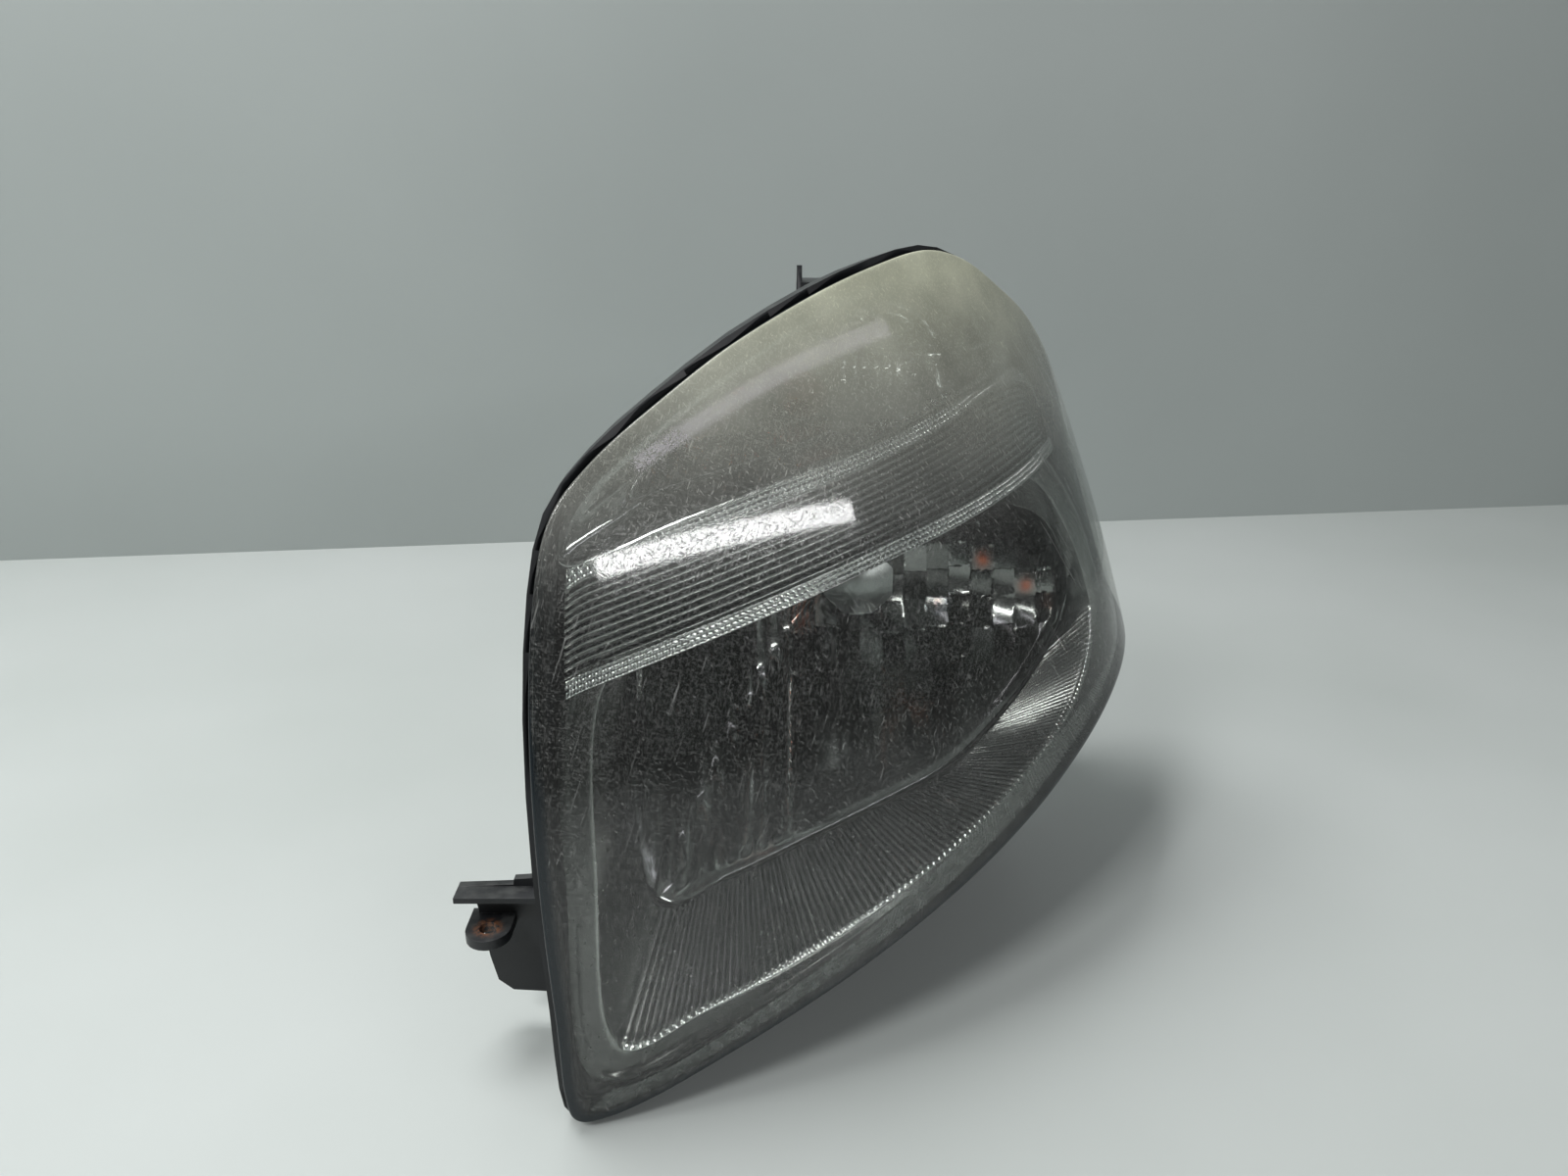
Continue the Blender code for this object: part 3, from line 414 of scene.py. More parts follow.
def plated(name, bright, dull, rough, spread, ripple=0.0, hollow=None, amber_reflection_colour=None):
    """Bright metal film or plating: nearly a mirror, with a thin uneven bloom. Where a piece carries a tone
    attribute, painted shade darkens its hollows and painted highlights or reflections brighten the rest;
    where it carries the amber attribute, the amber bulb's reflection is painted in."""
    made, tree, shader, where = new_finish(name)
    shader.inputs["Metallic"].default_value = 1.0
    cloud = speckle(tree, where, 22.0, 0.35, 0.7)
    colour = add(tree, "MixRGB", None, {0: cloud.outputs[0], 1: linear(bright), 2: linear(dull)})
    # Painted shade and light: the tone attribute mixes in the dark colour where shade is painted and keeps
    # the bright colour where highlights or reflections are painted.
    if hollow:
        crest = add(tree, "Attribute", {"attribute_name": "crest"}).outputs["Fac"]
        colour = add(tree, "MixRGB", None, {0: crest, 1: linear(hollow), 2: colour.outputs[0]})
    # Painted reflection: the amber bulb's reflection is painted into the colour where this attribute is high.
    if amber_reflection_colour:
        glow = add(tree, "Attribute", {"attribute_name": "glow"}).outputs["Fac"]
        colour = add(tree, "MixRGB", None, {0: glow, 1: colour.outputs[0], 2: linear(amber_reflection_colour)})
    tree.links.new(colour.outputs[0], shader.inputs["Base Color"])
    specks = speckle(tree, where, 2.5, 0.5, 0.75)
    gloss = add(tree, "MapRange", None, {"Value": specks.outputs[0], "To Min": rough,
                                         "To Max": rough + spread})
    tree.links.new(gloss.outputs[0], shader.inputs["Roughness"])
    if ripple:
        wave = add(tree, "TexNoise", None, {"Vector": where, "Scale": 90.0, "Detail": 1.0})
        bump = add(tree, "Bump", None, {"Height": wave.outputs["Fac"], "Distance": ripple, "Strength": 0.5})
        tree.links.new(bump.outputs[0], shader.inputs["Normal"])
    return made


def skin_gloss(tree, ior):
    """Share mirrored by a clear skin, alike from both of its sides."""
    head_on = ((ior - 1.0) / (ior + 1.0)) ** 2
    tilt = add(tree, "LayerWeight", None, {"Blend": 0.5}).outputs["Facing"]
    steep = add(tree, "Math", {"operation": "POWER"}, {0: tilt, 1: 5.0})
    share = add(tree, "MapRange", None, {"Value": steep.outputs[0], "To Min": head_on, "To Max": 0.7})
    return share.outputs[0]


def see_through(name, tint, body_colour, body_share, ior, rough):
    """Thin clear wall: straight through it, with its gloss on top and a little body colour."""
    made, tree, shader, where = new_finish(name)
    clear = add(tree, "BsdfTransparent", None, {"Color": linear(tint)})
    gloss = add(tree, "BsdfAnisotropic", None, {"Color": (1, 1, 1, 1), "Roughness": rough})
    glassy = add(tree, "MixShader", None, {0: skin_gloss(tree, ior), 1: clear.outputs[0],
                                           2: gloss.outputs[0]})
    cloud = speckle(tree, where, 6.0, 0.3, 0.8)
    share = add(tree, "MapRange", None, {"Value": cloud.outputs[0], "To Min": body_share * 0.7,
                                         "To Max": body_share * 1.3})
    shader.inputs["Base Color"].default_value = linear(body_colour)
    shader.inputs["Roughness"].default_value = rough + 0.2
    mixed = add(tree, "MixShader", None, {0: share.outputs[0], 1: glassy.outputs[0],
                                          2: shader.outputs[0]})
    tree.links.new(mixed.outputs[0], tree.nodes["Material Output"].inputs["Surface"])
    return made


def strokes(tree, where, turn, across_mm, along_mm, low, high):
    """Hairlines lying one way: noise drawn out along them and cut to its crests."""
    laid = add(tree, "Mapping", {"vector_type": "TEXTURE"}, {
        "Vector": where, "Rotation": [math.radians(a) for a in turn],
        "Scale": (along_mm / 1000.0, across_mm / 1000.0, across_mm / 1000.0)})
    noise = add(tree, "TexNoise", None, {"Vector": laid.outputs[0], "Scale": 1.0, "Detail": 1.0})
    return add(tree, "MapRange", None, {"Value": noise.outputs["Fac"], "From Min": low, "From Max": high})


def lens_finish():
    """Moulded clear polycarbonate with a worn hard coat: hazed and yellowed most along the top, covered in
    short fine hairlines and crossed by a few long ones. Its edge shows the dark joint behind it."""
    made, tree, shader, where = new_finish("clear_polycarbonate_weathered")
    height = add(tree, "SeparateXYZ", None, {0: where})
    top = add(tree, "MapRange", None, {"Value": height.outputs["Z"], "From Min": 0.225, "From Max": 0.355})
    top = add(tree, "Math", {"operation": "POWER"}, {0: top.outputs[0], 1: 1.4})
    cloud = speckle(tree, where, 45.0, 0.3, 0.7)
    patchy = add(tree, "MapRange", None, {"Value": cloud.outputs[0], "To Min": 0.75, "To Max": 1.2})
    haze = add(tree, "MapRange", None, {"Value": top.outputs[0], "To Min": 0.02, "To Max": 0.70})
    haze = add(tree, "Math", {"operation": "MULTIPLY"}, {0: haze.outputs[0], 1: patchy.outputs[0]})
    marks = 0.0
    for turn, across, along, low, high, weight in (
            ((0, 20, 10), 0.7, 3.4, 0.61, 0.66, 0.08), ((0, 75, 40), 0.7, 3.0, 0.61, 0.66, 0.08),
            ((0, -50, 60), 0.7, 3.8, 0.61, 0.66, 0.08), ((0, 55, 25), 0.8, 60.0, 0.70, 0.73, 0.22),
            ((0, -65, 45), 0.8, 80.0, 0.70, 0.73, 0.22)):
        line = strokes(tree, where, turn, across, along, low, high).outputs[0]
        line = add(tree, "Math", {"operation": "MULTIPLY"}, {0: line, 1: weight}).outputs[0]
        marks = add(tree, "Math", {"operation": "MAXIMUM"}, {0: marks, 1: line}).outputs[0]
    share = add(tree, "Math", {"operation": "ADD", "use_clamp": True}, {0: haze.outputs[0], 1: marks})
    tone = add(tree, "MixRGB", None, {0: top.outputs[0], 1: linear("#d3d4d1"), 2: linear("#dfe1c8")})
    tree.links.new(tone.outputs[0], shader.inputs["Base Color"])
    shader.inputs["Roughness"].default_value = 0.5
    clear = add(tree, "BsdfTransparent", None, {"Color": linear("#f4f5f3")})
    wear = add(tree, "MapRange", None, {"Value": marks, "From Max": 0.22, "To Min": 0.05, "To Max": 0.30})
    gloss = add(tree, "BsdfAnisotropic", None, {"Color": (1, 1, 1, 1), "Roughness": wear.outputs[0]})
    glassy = add(tree, "MixShader", None, {0: skin_gloss(tree, 1.58), 1: clear.outputs[0],
                                           2: gloss.outputs[0]})
    mixed = add(tree, "MixShader", None, {0: share.outputs[0], 1: glassy.outputs[0],
                                          2: shader.outputs[0]})
    sealed = add(tree, "BsdfPrincipled", None, {"Base Color": linear("#1d2327"), "Roughness": 0.12})
    border = add(tree, "Attribute", {"attribute_name": "edge"}).outputs["Fac"]
    edged = add(tree, "MixShader", None, {0: border, 1: mixed.outputs[0], 2: sealed.outputs[0]})
    tree.links.new(edged.outputs[0], tree.nodes["Material Output"].inputs["Surface"])
    return made


LENS = lens_finish()
LENS_BACK = see_through("clear_polycarbonate_inside", "#f6f7f6", "#b9bdb9", 0.004, 1.08, 0.05)
FLUTES = see_through("clear_polycarbonate_fluted", "#c9cfcd", "#b4bab8", 0.30, 1.58, 0.08)
MIRROR = plated("vacuum_metallised_bright", "#b4b6b6", "#949797", 0.09, 0.10, 0.0004)
# Ribs: the near-black colour is painted shade in the hollows between painted highlights on the crests.
RIBBED = plated("vacuum_metallised_ribbed", "#b6b8b7", "#a2a4a3", 0.20, 0.10, hollow="#101010")
# Facets: the bright and dark colours are the two ends of the painted reflection of the room; the orange is
# the painted reflection of the amber bulb.
FACETED = plated("vacuum_metallised_facets", "#eceeee", "#d6d9d9", 0.14, 0.10, hollow="#383836",
                 amber_reflection_colour="#d0602c")
BEADING = plated("vacuum_metallised_beading", "#e6e8e8", "#cfd2d2", 0.10, 0.08)
SATIN = plated("satin_metallised_cap", "#c4c8c8", "#aeb2b2", 0.38, 0.10)
BLACK = moulded("black_polypropylene_grained", "#191a1c", "#242629", 0.44, 1.4, 0.00012)
BRACKET = rusted(moulded("black_polypropylene_bracket", "#191a1c", "#242629", 0.44, 1.4, 0.00012),
                 DATUM + np.array((-0.0440, 0.0580, 0.0665)), 0.0085)
RUBBER = moulded("epdm_rubber", "#111112", "#1b1b1c", 0.72, 0.9, 0.00008)
GREY = moulded("grey_glass_filled_nylon", "#3a3d3f", "#484b4d", 0.5, 1.2, 0.00008)
WHITE = moulded("natural_nylon", "#cfcabb", "#dbd7ca", 0.42, 1.5, 0.00006)
ZINC = plated("zinc_plated_steel", "#b3b6b5", "#8f9391", 0.28, 0.22)
BRASS = plated("brass_contacts", "#c9a45c", "#a98545", 0.25, 0.2)
AMBER = see_through("amber_bulb_glass", "#f0bd86", "#c9783a", 0.14, 1.5, 0.03)
BULB_GLASS = see_through("clear_bulb_glass", "#eef2f4", "#c8ced0", 0.05, 1.5, 0.02)

# ---------------------------------------------------------------- lens
def lens_joint(u, v, p):
    """Where the dark joint shows through the edge: a broad band below, a thin line over the top."""
    return soft_step(v - 0.055 * soft_step(p[:, 2], 0.15, 0.25), 0.825, 0.835)


finished("clear_lens", formed(288, 96, lens_sheet, edge=lens_joint), "housing", LENS,
         ("lens",), face=(0, -1, 0), sharp=60.0, wall=WALL, inside=LENS_BACK)


def border_sheet(u, v):
    """Strip inside the lens, along its lower edge and up its outer end."""
    t = 0.006 + 0.36 * u
    edge = through(LENS_EDGE, t)
    aim = np.array((46.0, 0.205)) - edge
    p0 = lens_face(*edge.T)
    step = np.linalg.norm(lens_face(*(edge + aim * 0.02).T) - p0, axis=1) / 0.02
    far = edge + aim * ((0.0045 + 0.0150 * v) / step)[:, None]
    return lens_face(*far.T, 0.0040)


FLUTE_PITCH = 0.0024
border_run = lengthwise(lambda t: border_sheet(t, np.zeros_like(t)))


def border_flutes(u, v, p):
    """Fine flutes square to the edge of the lens."""
    return 0.0006 * np.cos(math.tau * border_run(u) / FLUTE_PITCH)


finished("lens_border_flutes", formed(1500, 6, raised(border_sheet, border_flutes)), "housing", FLUTES,
         face=(0, -1, 0))

# ---------------------------------------------------------------- lower trim with its ribbed shelf
lower_sheet = trim_sheet(LOWER_LIP, LOWER_OUT, LOWER_BACK, lower_back_y)
shelf_run = lengthwise(lambda t: lens_face(*through(LOWER_LIP, t).T))


def packed(u):
    """Three quarters of the columns go to the shelf."""
    return np.interp(u, (0.0, 0.75, 1.0), (-0.01, 0.42, 0.99))


RIB_PITCH = 0.0038    # the real ribs are 2.6 mm apart, too fine to show from a step back


def shelf_ribs(u, v):
    """Height of the shelf's ribs, 0 in the hollows and 1 on the crests."""
    return (0.5 + 0.5 * np.cos(math.tau * shelf_run(u) / RIB_PITCH)) ** 1.5


def shelf_painted_light(u, v, p):
    """Painted highlights on the shelf's crests and painted shade in its hollows, a painted highlight along
    the lip in front of it, the rest dark.
    """
    u, v = packed(u), v ** 1.5
    on_shelf = soft_step(u, 0.0, 0.006) * (1.0 - soft_step(u, 0.400, 0.415)) * soft_step(v, 0.22, 0.25)
    # Painted highlight along the lip in front of the ribs.
    lip = np.exp(-((v - 0.205) / 0.018) ** 2)
    return np.clip(0.22 * (1.0 - on_shelf) + on_shelf * shelf_ribs(u, v) * 0.85 + 0.04 + lip, 0.0, 1.0)


def shelf_relief(u, v, p):
    """Ribs on the shelf, highest at their front ends, and a round rim."""
    on_shelf = soft_step(u, 0.0, 0.006) * (1.0 - soft_step(u, 0.400, 0.415))
    along = soft_step(v, 0.235, 0.25) * (1.0 - soft_step(v, 0.95, 0.98))
    nose = 1.0 + 0.6 * np.exp(-((v - 0.262) / 0.014) ** 2)
    ribs = 0.00085 * on_shelf * along * nose * shelf_ribs(u, v)
    rim = 0.0012 * np.exp(-((v - 0.035) / 0.03) ** 2)
    return ribs + rim


def shelf_shape(u, v):
    return raised(lower_sheet, shelf_relief)(packed(u), v ** 1.5)


finished("lower_trim", formed(1600, 60, shelf_shape, crest=shelf_painted_light), "housing", RIBBED,
         ("lower_bezel",), face=(0, -1, 0), wall=TRIM_WALL)


def shelf_beads(u, v):
    """Narrow strip along the front ends of the shelf ribs."""
    t = 0.006 + 0.400 * u
    return lower_sheet(t, 0.20 + 0.055 * v)


shelf_bead_run = lengthwise(lambda u: shelf_beads(u, np.full_like(u, 0.3)))


def shelf_bead_relief(u, v, p):
    """A bead at the front end of each rib."""
    return 0.0005 + 0.0011 * np.sin(math.pi * v) ** 2 * np.sin(math.pi * shelf_bead_run(u) / RIB_PITCH) ** 2


finished("shelf_bead_row", formed(1100, 8, raised(shelf_beads, shelf_bead_relief)), "housing", BEADING,
         face=(0, -1, 0), wall=0.0005)

# ---------------------------------------------------------------- band with its bead rows
BAND_RIBS = 14
BEAD_PITCH = 0.0030


def band_relief(u, v, p):
    """Round ribs along the band, dying out at its edges."""
    plain_edges = soft_step(v, 0.02, 0.06) * (1 - soft_step(v, 0.94, 0.98))
    return 0.0010 * np.abs(np.sin(math.pi * v * BAND_RIBS)) * plain_edges


def band_painted_light(u, v, p):
    """Painted highlights on the crests, painted shade in the hollows."""
    return 0.05 + 0.95 * np.abs(np.sin(math.pi * v * BAND_RIBS)) ** 3


finished("divider_band_ribbed", formed(200, 168, raised(band_sheet, band_relief, -1.0), crest=band_painted_light),
         "housing", RIBBED, ("divider_band",), face=(0, -1, 0), wall=TRIM_WALL)


def bead_strip(name, where, inset):
    """Three rows of staggered beads along the low or the high edge of the band."""
    def strip(u, v):
        phi, low, high = through(BAND, 0.01 + 0.98 * u, closed=False).T
        height = (low if where == "low" else high) + 0.0072 * (v - 0.5)
        return lens_face(phi, height, inset)
    run = lengthwise(lambda t: strip(t, np.full_like(t, 0.5)))

    def beads(u, v, p):
        across = np.sin(math.pi * v * 3.0) ** 2
        shift = math.pi * 0.5 * (np.floor(v * 3.0) % 2)
        return 0.0011 * across * np.sin(math.pi * run(u) / BEAD_PITCH + shift) ** 2
    finished(name, formed(1250, 18, raised(strip, beads, -1.0)), "housing", BEADING,
             face=(0, -1, 0), wall=0.0009)


bead_strip("band_beads_lower", "low", 0.0143)
bead_strip("band_beads_upper", "high", 0.0143)

# ---------------------------------------------------------------- main reflector
main_sheet = bowl_sheet(LOWER_BACK, lambda x: lower_back_y(x) + 0.0115, 0.0035, BULB, 0.019, 0.262, 2.0)


def scattered(i, j, seed):
    """The same number from -0.5 to 0.5 for the same cell every time."""
    s = np.sin(i * 12.9898 + j * 78.233 + seed) * 43758.5453
    return s - np.floor(s) - 0.5


def facet_cells(x, z):
    """Cell numbers and the place inside each: tall flutes inboard, blocks outboard."""
    tall = 1.0 - soft_step(x, 0.098, 0.102)
    wide = np.where(tall > 0.5, 0.0075, 0.0135)
    high = np.where(tall > 0.5, 0.034, 0.0165)
    i = np.floor((x - 0.02) / wide)
    row = (z - 0.06) / high + 0.35 * scattered(i, 0.0, 1.0)
    j = np.floor(row)
    return tall, i, j, (x - 0.02) / wide - i - 0.5, row - j - 0.5


def smooth_field(x, z):
    """Where the reflector is left plain, below the bulb and outboard."""
    return soft_step(x, 0.105, 0.115) * (1.0 - soft_step(z, 0.120, 0.135))


def facet_relief(u, v, p):
    """Crowned or tilted cells, but for one smooth field below the bulb and a rim that falls back."""
    x, z = p[:, 0], p[:, 2]
    tall, i, j, across, along = facet_cells(x, z)
    tilt = 0.0030 * scattered(i, j, 2.0) * across + 0.0030 * scattered(i, j, 3.0) * along * (1.0 - 0.6 * tall)
    crown = (0.0002 + 0.0010 * tall) * (1.0 - 4.0 * across ** 2)
    faceted = soft_step(v, 0.05, 0.16) * (1.0 - soft_step(v, 0.955, 0.985))
    faceted = faceted * (1.0 - 0.85 * smooth_field(x, z))
    return faceted * (crown + tilt) - 0.0022 * soft_step(v, 0.93, 1.0)


def facet_painted_reflection(u, v, p):
    """Painted reflection: how much of the bright room each cell faces, with painted streaks on the tall
    flutes.
    """
    x, z = p[:, 0], p[:, 2]
    tall, i, j, across, along = facet_cells(x, z)
    # Painted reflection streaks on some tall flutes, brighter at the lower left.
    streak = tall * np.exp(-((across - 0.25 * along) / 0.10) ** 2) * (scattered(i, j, 6.0) > 0.0)
    low_left = tall * (1.0 - soft_step(z, 0.150, 0.185))
    plain = 0.22 + 0.7 * np.maximum(scattered(i, j, 5.0), -0.28)
    tone = np.clip(plain * (1.0 - 0.6 * smooth_field(x, z)) + streak * (0.4 + low_left), 0.0, 1.0)
    # The rim is left at the full bright colour.
    return tone * (v < 0.975) + (v > 0.975)


def facet_glow(u, v, p):
    """Painted reflection of the amber bulb in a few cells, in a column beside the shield and in spots
    outboard.
    """
    x, z = p[:, 0], p[:, 2]
    tall, i, j, across, along = facet_cells(x, z)
    column = np.exp(-((x - 0.098 - 0.18 * (0.2 - z)) / 0.007) ** 2) * soft_step(z, 0.135, 0.150)
    spots = soft_step(x, 0.180, 0.190) * soft_step(z, 0.150, 0.165) * (scattered(i, j, 8.0) > 0.33)
    ragged = 0.5 + 0.5 * np.sin(x * 2100.0 + 3.0 * np.sin(z * 260.0))
    middle = np.exp(-(across / 0.3) ** 2 - (along / 0.35) ** 2)
    return 0.75 * np.clip(column * ragged + spots * middle, 0.0, 1.0)


facets = formed(420, 130, raised(main_sheet, facet_relief, -1.0), crest=facet_painted_reflection, glow=facet_glow)
finished("main_reflector_facets", facets, "reflector", FACETED, ("main_reflector",),
         face=(0, -1, 0), sharp=25.0, wall=0.0022)

# ---------------------------------------------------------------- indicator chamber
upper_sheet = trim_sheet(UPPER_LIP, UPPER_OUT, UPPER_BACK, upper_back_y)


def upper_relief(u, v, p):
    """A round rim."""
    return 0.0010 * np.exp(-((v - 0.05) / 0.03) ** 2)


finished("upper_trim", formed(360, 40, raised(upper_sheet, upper_relief)), "housing", MIRROR,
         ("upper_bezel",), face=(0, -1, 0), wall=TRIM_WALL)
turn_sheet = bowl_sheet(UPPER_BACK, lambda x: upper_back_y(x) + 0.003, 0.0, TURN, 0.0145, 0.240, 1.6)


def pillow_relief(u, v, p):
    """Pillows outboard of the bulb, fine upright lines inboard of it."""
    x, z = p[:, 0], p[:, 2]
    right = soft_step(x, 0.118, 0.122)
    pillows = np.abs(np.sin(math.pi * x / 0.0062)) * np.abs(np.sin(math.pi * z / 0.0055))
    lines = np.abs(np.sin(math.pi * x / 0.0040)) * (1.0 - right)
    mask = soft_step(v, 0.03, 0.12) * (1.0 - soft_step(v, 0.97, 1.0))
    return mask * (0.0011 * pillows * right + 0.0005 * lines)


finished("turn_reflector_pillows", formed(420, 90, raised(turn_sheet, pillow_relief, -1.0)), "housing",
         MIRROR, ("turn_reflector",), face=(0, -1, 0), sharp=25.0, wall=0.0016)

# ---------------------------------------------------------------- solids kept, with their edges rounded
for finish, slot, widths in (
        (BLACK, "black_housing", {
            "rear_housing": 0.0, "levelling_motor": 0.0004, "horizontal_gearbox": 0.0008}),
        (BRACKET, "black_housing", {"inner_mount_bracket": 0.0006}),
        (RUBBER, "black_rubber", {"lens_seal": 0.0, "cover_seal": 0.0003, "turn_holder_seal": 0.0003}),
        (SATIN, "dark_metallised", {"bulb_shield": 0.0003}),
        (GREY, "grey_nylon", {
            "electrical_inlet": 0.0005, "aim_carrier": 0.0004, "carrier_pivot_upper": 0.0003,
            "carrier_pivot_lower": 0.0003, "reflector_ear_inner": 0.0003, "reflector_ear_outer": 0.0003,
            "parking_bulb_holder": 0.0003}),
        (WHITE, "natural_nylon", {"levelling_socket": 0.0003, "levelling_spindle": 0.0002}),
        (ZINC, "zinc_steel", {
            "horizontal_rod": 0.0002, "main_bulb_base": 0.0002, "bulb_clip": 0.0, "clip_eye_1": 0.0002,
            "clip_eye_2": 0.0002, "bracket_screw_1": 0.0002, "bracket_screw_2": 0.0002}),
        (BRASS, "brass_contact", {
            "main_bulb_blade_1": 0.0001, "main_bulb_blade_2": 0.0001, "main_bulb_blade_3": 0.0001,
            "turn_bulb_cap": 0.0002, "inlet_pin_1": 0.0001, "inlet_pin_2": 0.0001, "inlet_pin_3": 0.0001,
            "inlet_pin_4": 0.0001}),
        (BULB_GLASS, "bulb_glass", {"main_bulb_glass": 0.0, "parking_bulb": 0.0}),
        (AMBER, "amber_glass", {"turn_bulb_glass": 0.0})):
    for node, width in widths.items():
        smoothed(node, finish, width)

# ---------------------------------------------------------------- turned pieces on the back
def wheel(start):
    """Profile of an adjuster wheel: toothed rim, then a plain nose."""
    return [(start, 0.0), (start, .0078), (start + .0006, .0085), (start + .0070, .0085),
            (start + .0076, .0078), (start + .0078, .0052), (start + .0130, .0048), (start + .0136, .0040),
            (start + .0136, 0.0)]


def vent_cap(start):
    """Profile of a breather: a stem, then a cap wider than it."""
    return [(start, 0.0), (start, .0060), (start + .0060, .0060), (start + .0064, .0086),
            (start + .0072, .0090), (start + .0150, .0086), (start + .0160, .0076), (start + .0160, 0.0)]


def rear_cover():
    """Twist-off cover: collar into the tunnel, lobed rim, domed face and a grip bar with two end blocks."""
    bm = turned([(COVER + .0095, 0.0), (COVER + .0095, .0340), (COVER + .0055, .0375), (.3120, .0375),
                 (.3120, .0400), (COVER, .0400), (COVER, .0495), (COVER + .0006, .0500),
                 (COVER + .0045, .0500), (COVER + .0054, .0494), (COVER + .0075, .0470),
                 (COVER + .0116, .0360), (COVER + .0120, .0345), (COVER + .0120, .0290),
                 (COVER + .0112, .0282), (COVER + .0112, .0200), (COVER + .0120, .0192),
                 (COVER + .0120, 0.0)], BULB, 144, 36, 0.0480, 0.010)
    add_bar(bm, (BULB[0] - .0300, COVER + .0100, BULB[1] - .0025),
            (BULB[0] + .0300, COVER + .0230, BULB[1] + .0025), 0.0010)
    for side in (-1, 1):
        x = sorted((BULB[0] + side * 0.0300, BULB[0] + side * 0.0240))
        add_bar(bm, (x[0], COVER + .0100, BULB[1] - .0050), (x[1], COVER + .0180, BULB[1] + .0050), 0.0008)
    return bm


def indicator_holder():
    """Twist-out holder: socket, tapered stem, lobed rim and a grip blade."""
    bm = turned([(.2478, 0.0), (.2478, .0082), (.2360, .0082), (.2360, .0108), (.2560, .0112),
                 (.2960, .0150), (.3036, .0150), (.3036, .0205), (.3042, .0210), (.3064, .0210),
                 (.3070, .0204), (.3070, .0130), (.3085, .0100), (.3085, 0.0)], TURN, 96, 16, 0.0200, 0.025)
    add_bar(bm, (TURN[0] - .0022, .3000, TURN[1] - .0150), (TURN[0] + .0022, .3200, TURN[1] + .0150), 0.0008)
    return bm


def back_wall_ribs():
    """Low stiffening ribs on the back wall, lying (height, from, to) and standing (place, from, to)."""
    lying = ((.050, .085, .138), (.088, .095, .176), (.165, .022, .086), (.232, .030, .088),
             (.270, .050, .084))
    standing = ((.095, .042, .128), (.137, .049, .142), (.172, .070, .150), (.045, .218, .262),
                (.030, .095, .165))
    bm = bmesh.new()
    for z, x0, x1 in lying:
        add_bar(bm, (x0, BACK - .0015, z - .0009), (x1, BACK + .0034, z + .0009), 0.0003)
    for x, z0, z1 in standing:
        add_bar(bm, (x - .0009, BACK - .0015, z0), (x + .0009, BACK + .0034, z1), 0.0003)
    return bm


finished("main_bulb_cover_part", rear_cover(), "cover", BLACK, ("main_bulb_cover",))
finished("turn_bulb_holder_part", indicator_holder(), "turn_holder", GREY,
         ("turn_bulb_holder",))
for name, body, start, centre in (("vertical_adjuster", "vertical_knob", .3424, (.062, .125)),
                                  ("horizontal_adjuster", "horizontal_knob", .3444, (.191, .250))):
    finished(name + "_part", turned(wheel(start), centre, 144, 18, 0.0074, 0.045), body, WHITE,
             (name,))
for name, centre in (("breather_lower", (.045, .205)), ("breather_upper", (.098, .248))):
    finished(name + "_part", turned(vent_cap(BACK + .0004), centre, 96, 8, 0.0080, 0.02), "housing", RUBBER,
             (name,))
finished("housing_back_ribs", back_wall_ribs(), "housing", BLACK)
collar = turned([(.3060, .0466), (.3060, .0500), (.3064, .0504), (.3080, .0504), (.3084, .0500),
                 (.3084, .0466), (.3060, .0466)], BULB, 96)
finished("service_tunnel_collar", collar, "housing", BLACK)

# ---------------------------------------------------------------- stage, light and camera
def table_top():
    """Satin white laminate, faintly marked."""
    made, tree, shader, where = new_finish("white_laminate_table")
    cloud = speckle(tree, where, 400.0, 0.3, 0.7)
    colour = add(tree, "MixRGB", None, {0: cloud.outputs[0], 1: linear("#cdd2d0"), 2: linear("#c3c9c6")})
    tree.links.new(colour.outputs[0], shader.inputs["Base Color"])
    shader.inputs["Roughness"].default_value = 0.30
    return made


def wall_paint():
    """Grey-green wall; seen from behind it lets the view through."""
    made, tree, shader, where = new_finish("grey_green_wall")
    cloud = speckle(tree, where, 700.0, 0.3, 0.7)
    colour = add(tree, "MixRGB", None, {0: cloud.outputs[0], 1: linear("#a9b0ae"), 2: linear("#a0a7a5")})
    tree.links.new(colour.outputs[0], shader.inputs["Base Color"])
    shader.inputs["Roughness"].default_value = 0.45
    clear = add(tree, "BsdfTransparent")
    back = add(tree, "NewGeometry").outputs["Backfacing"]
    mixed = add(tree, "MixShader", None, {0: back, 1: shader.outputs[0], 2: clear.outputs[0]})
    tree.links.new(mixed.outputs[0], tree.nodes["Material Output"].inputs["Surface"])
    return made


def stage_sheet(name, size, finish, place):
    """A flat square sheet of the stage."""
    bm = bmesh.new()
    bmesh.ops.create_grid(bm, x_segments=4, y_segments=4, size=size / 2.0)
    bmesh.ops.transform(bm, matrix=place, verts=bm.verts[:])
    mesh = bpy.data.meshes.new(name)
    bm.to_mesh(mesh)
    bm.free()
    mesh.materials.append(finish)
    piece = bpy.data.objects.new(name, mesh)
    bpy.context.scene.collection.objects.link(piece)


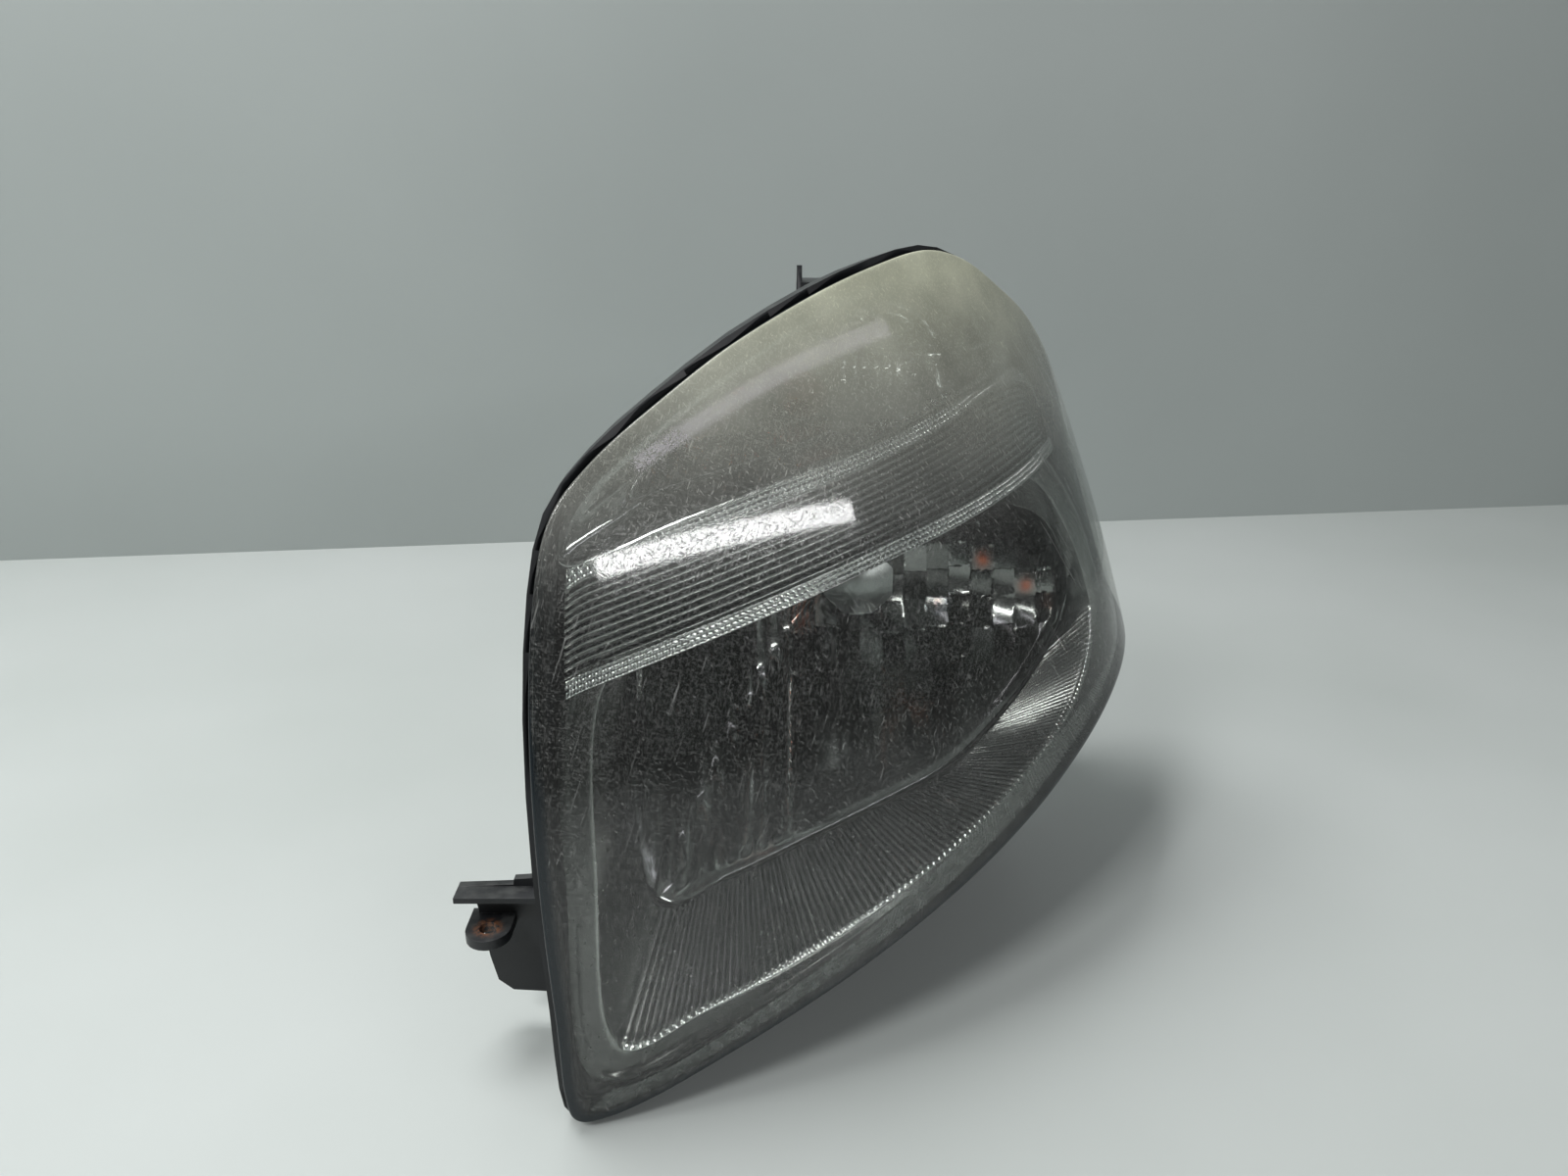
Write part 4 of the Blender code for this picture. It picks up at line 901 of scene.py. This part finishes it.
ROOM = 8.0                                      # length and height of the table and the wall
WALL_LEFT, WALL_RIGHT = (-0.880, 0.612), (0.956, 0.832)     # two places along the wall's foot
stage_sheet("table", ROOM, table_top(), Matrix.Identity(4))
wall_turn = math.atan2(WALL_RIGHT[1] - WALL_LEFT[1], WALL_RIGHT[0] - WALL_LEFT[0])
stage_sheet("wall", ROOM, wall_paint(), Matrix.Translation((0.0, 0.717, 3.999))
            @ Matrix.Rotation(wall_turn, 4, "Z") @ Matrix.Rotation(math.radians(90), 4, "X"))


def soft_box(name, at, look, size, power, tint="#ffffff"):
    """A rectangular light at one point, aimed at another."""
    lamp = bpy.data.lights.new(name, "AREA")
    lamp.shape = "RECTANGLE"
    lamp.size, lamp.size_y = size
    lamp.energy = power
    lamp.color = linear(tint)[:3]
    stand = bpy.data.objects.new(name, lamp)
    stand.location = at
    stand.rotation_euler = (Vector(look) - Vector(at)).to_track_quat("-Z", "Y").to_euler()
    bpy.context.scene.collection.objects.link(stand)


soft_box("overhead", (-0.70, 0.30, 2.0), (0.0, 0.0, 0.1), (1.1, 0.8), 29.0)
soft_box("wall_wash", (-1.7, -0.7, 1.5), (-1.2, 0.6, 0.5), (0.8, 0.8), 11.0)
soft_box("front_fill", (-0.95, -1.25, 1.70), (0.0, 0.0, 0.2), (0.5, 0.5), 17.0)
soft_box("tube_right", (1.05, -1.25, 0.80), (0.0, 0.0, 0.22), (1.5, 0.07), 7.0)
soft_box("tube_far", (1.01, -0.67, 1.035), (-0.03, -0.08, 0.31), (1.65, 0.045), 1.3, "#eee8f4")
soft_box("rear_fill", (0.2, 2.6, 1.6), (0.0, 0.1, 0.15), (2.0, 1.2), 30.0)

world = bpy.data.worlds.new("room")
bpy.context.scene.world = world
world.use_nodes = True
world.node_tree.nodes["Background"].inputs["Color"].default_value = linear("#4b4e4d")
world.node_tree.nodes["Background"].inputs["Strength"].default_value = 1.0
bpy.context.scene.view_settings.view_transform = "Standard"

camera = bpy.data.cameras.new("camera")
camera.sensor_width = 36.0
camera.lens = 27.045
viewer = bpy.data.objects.new("camera", camera)
viewer.location = (-0.0306, -0.5969, 0.4084)
viewer.rotation_euler = (math.radians(70.0), 0.0, 0.0)
bpy.context.scene.collection.objects.link(viewer)
bpy.context.scene.camera = viewer
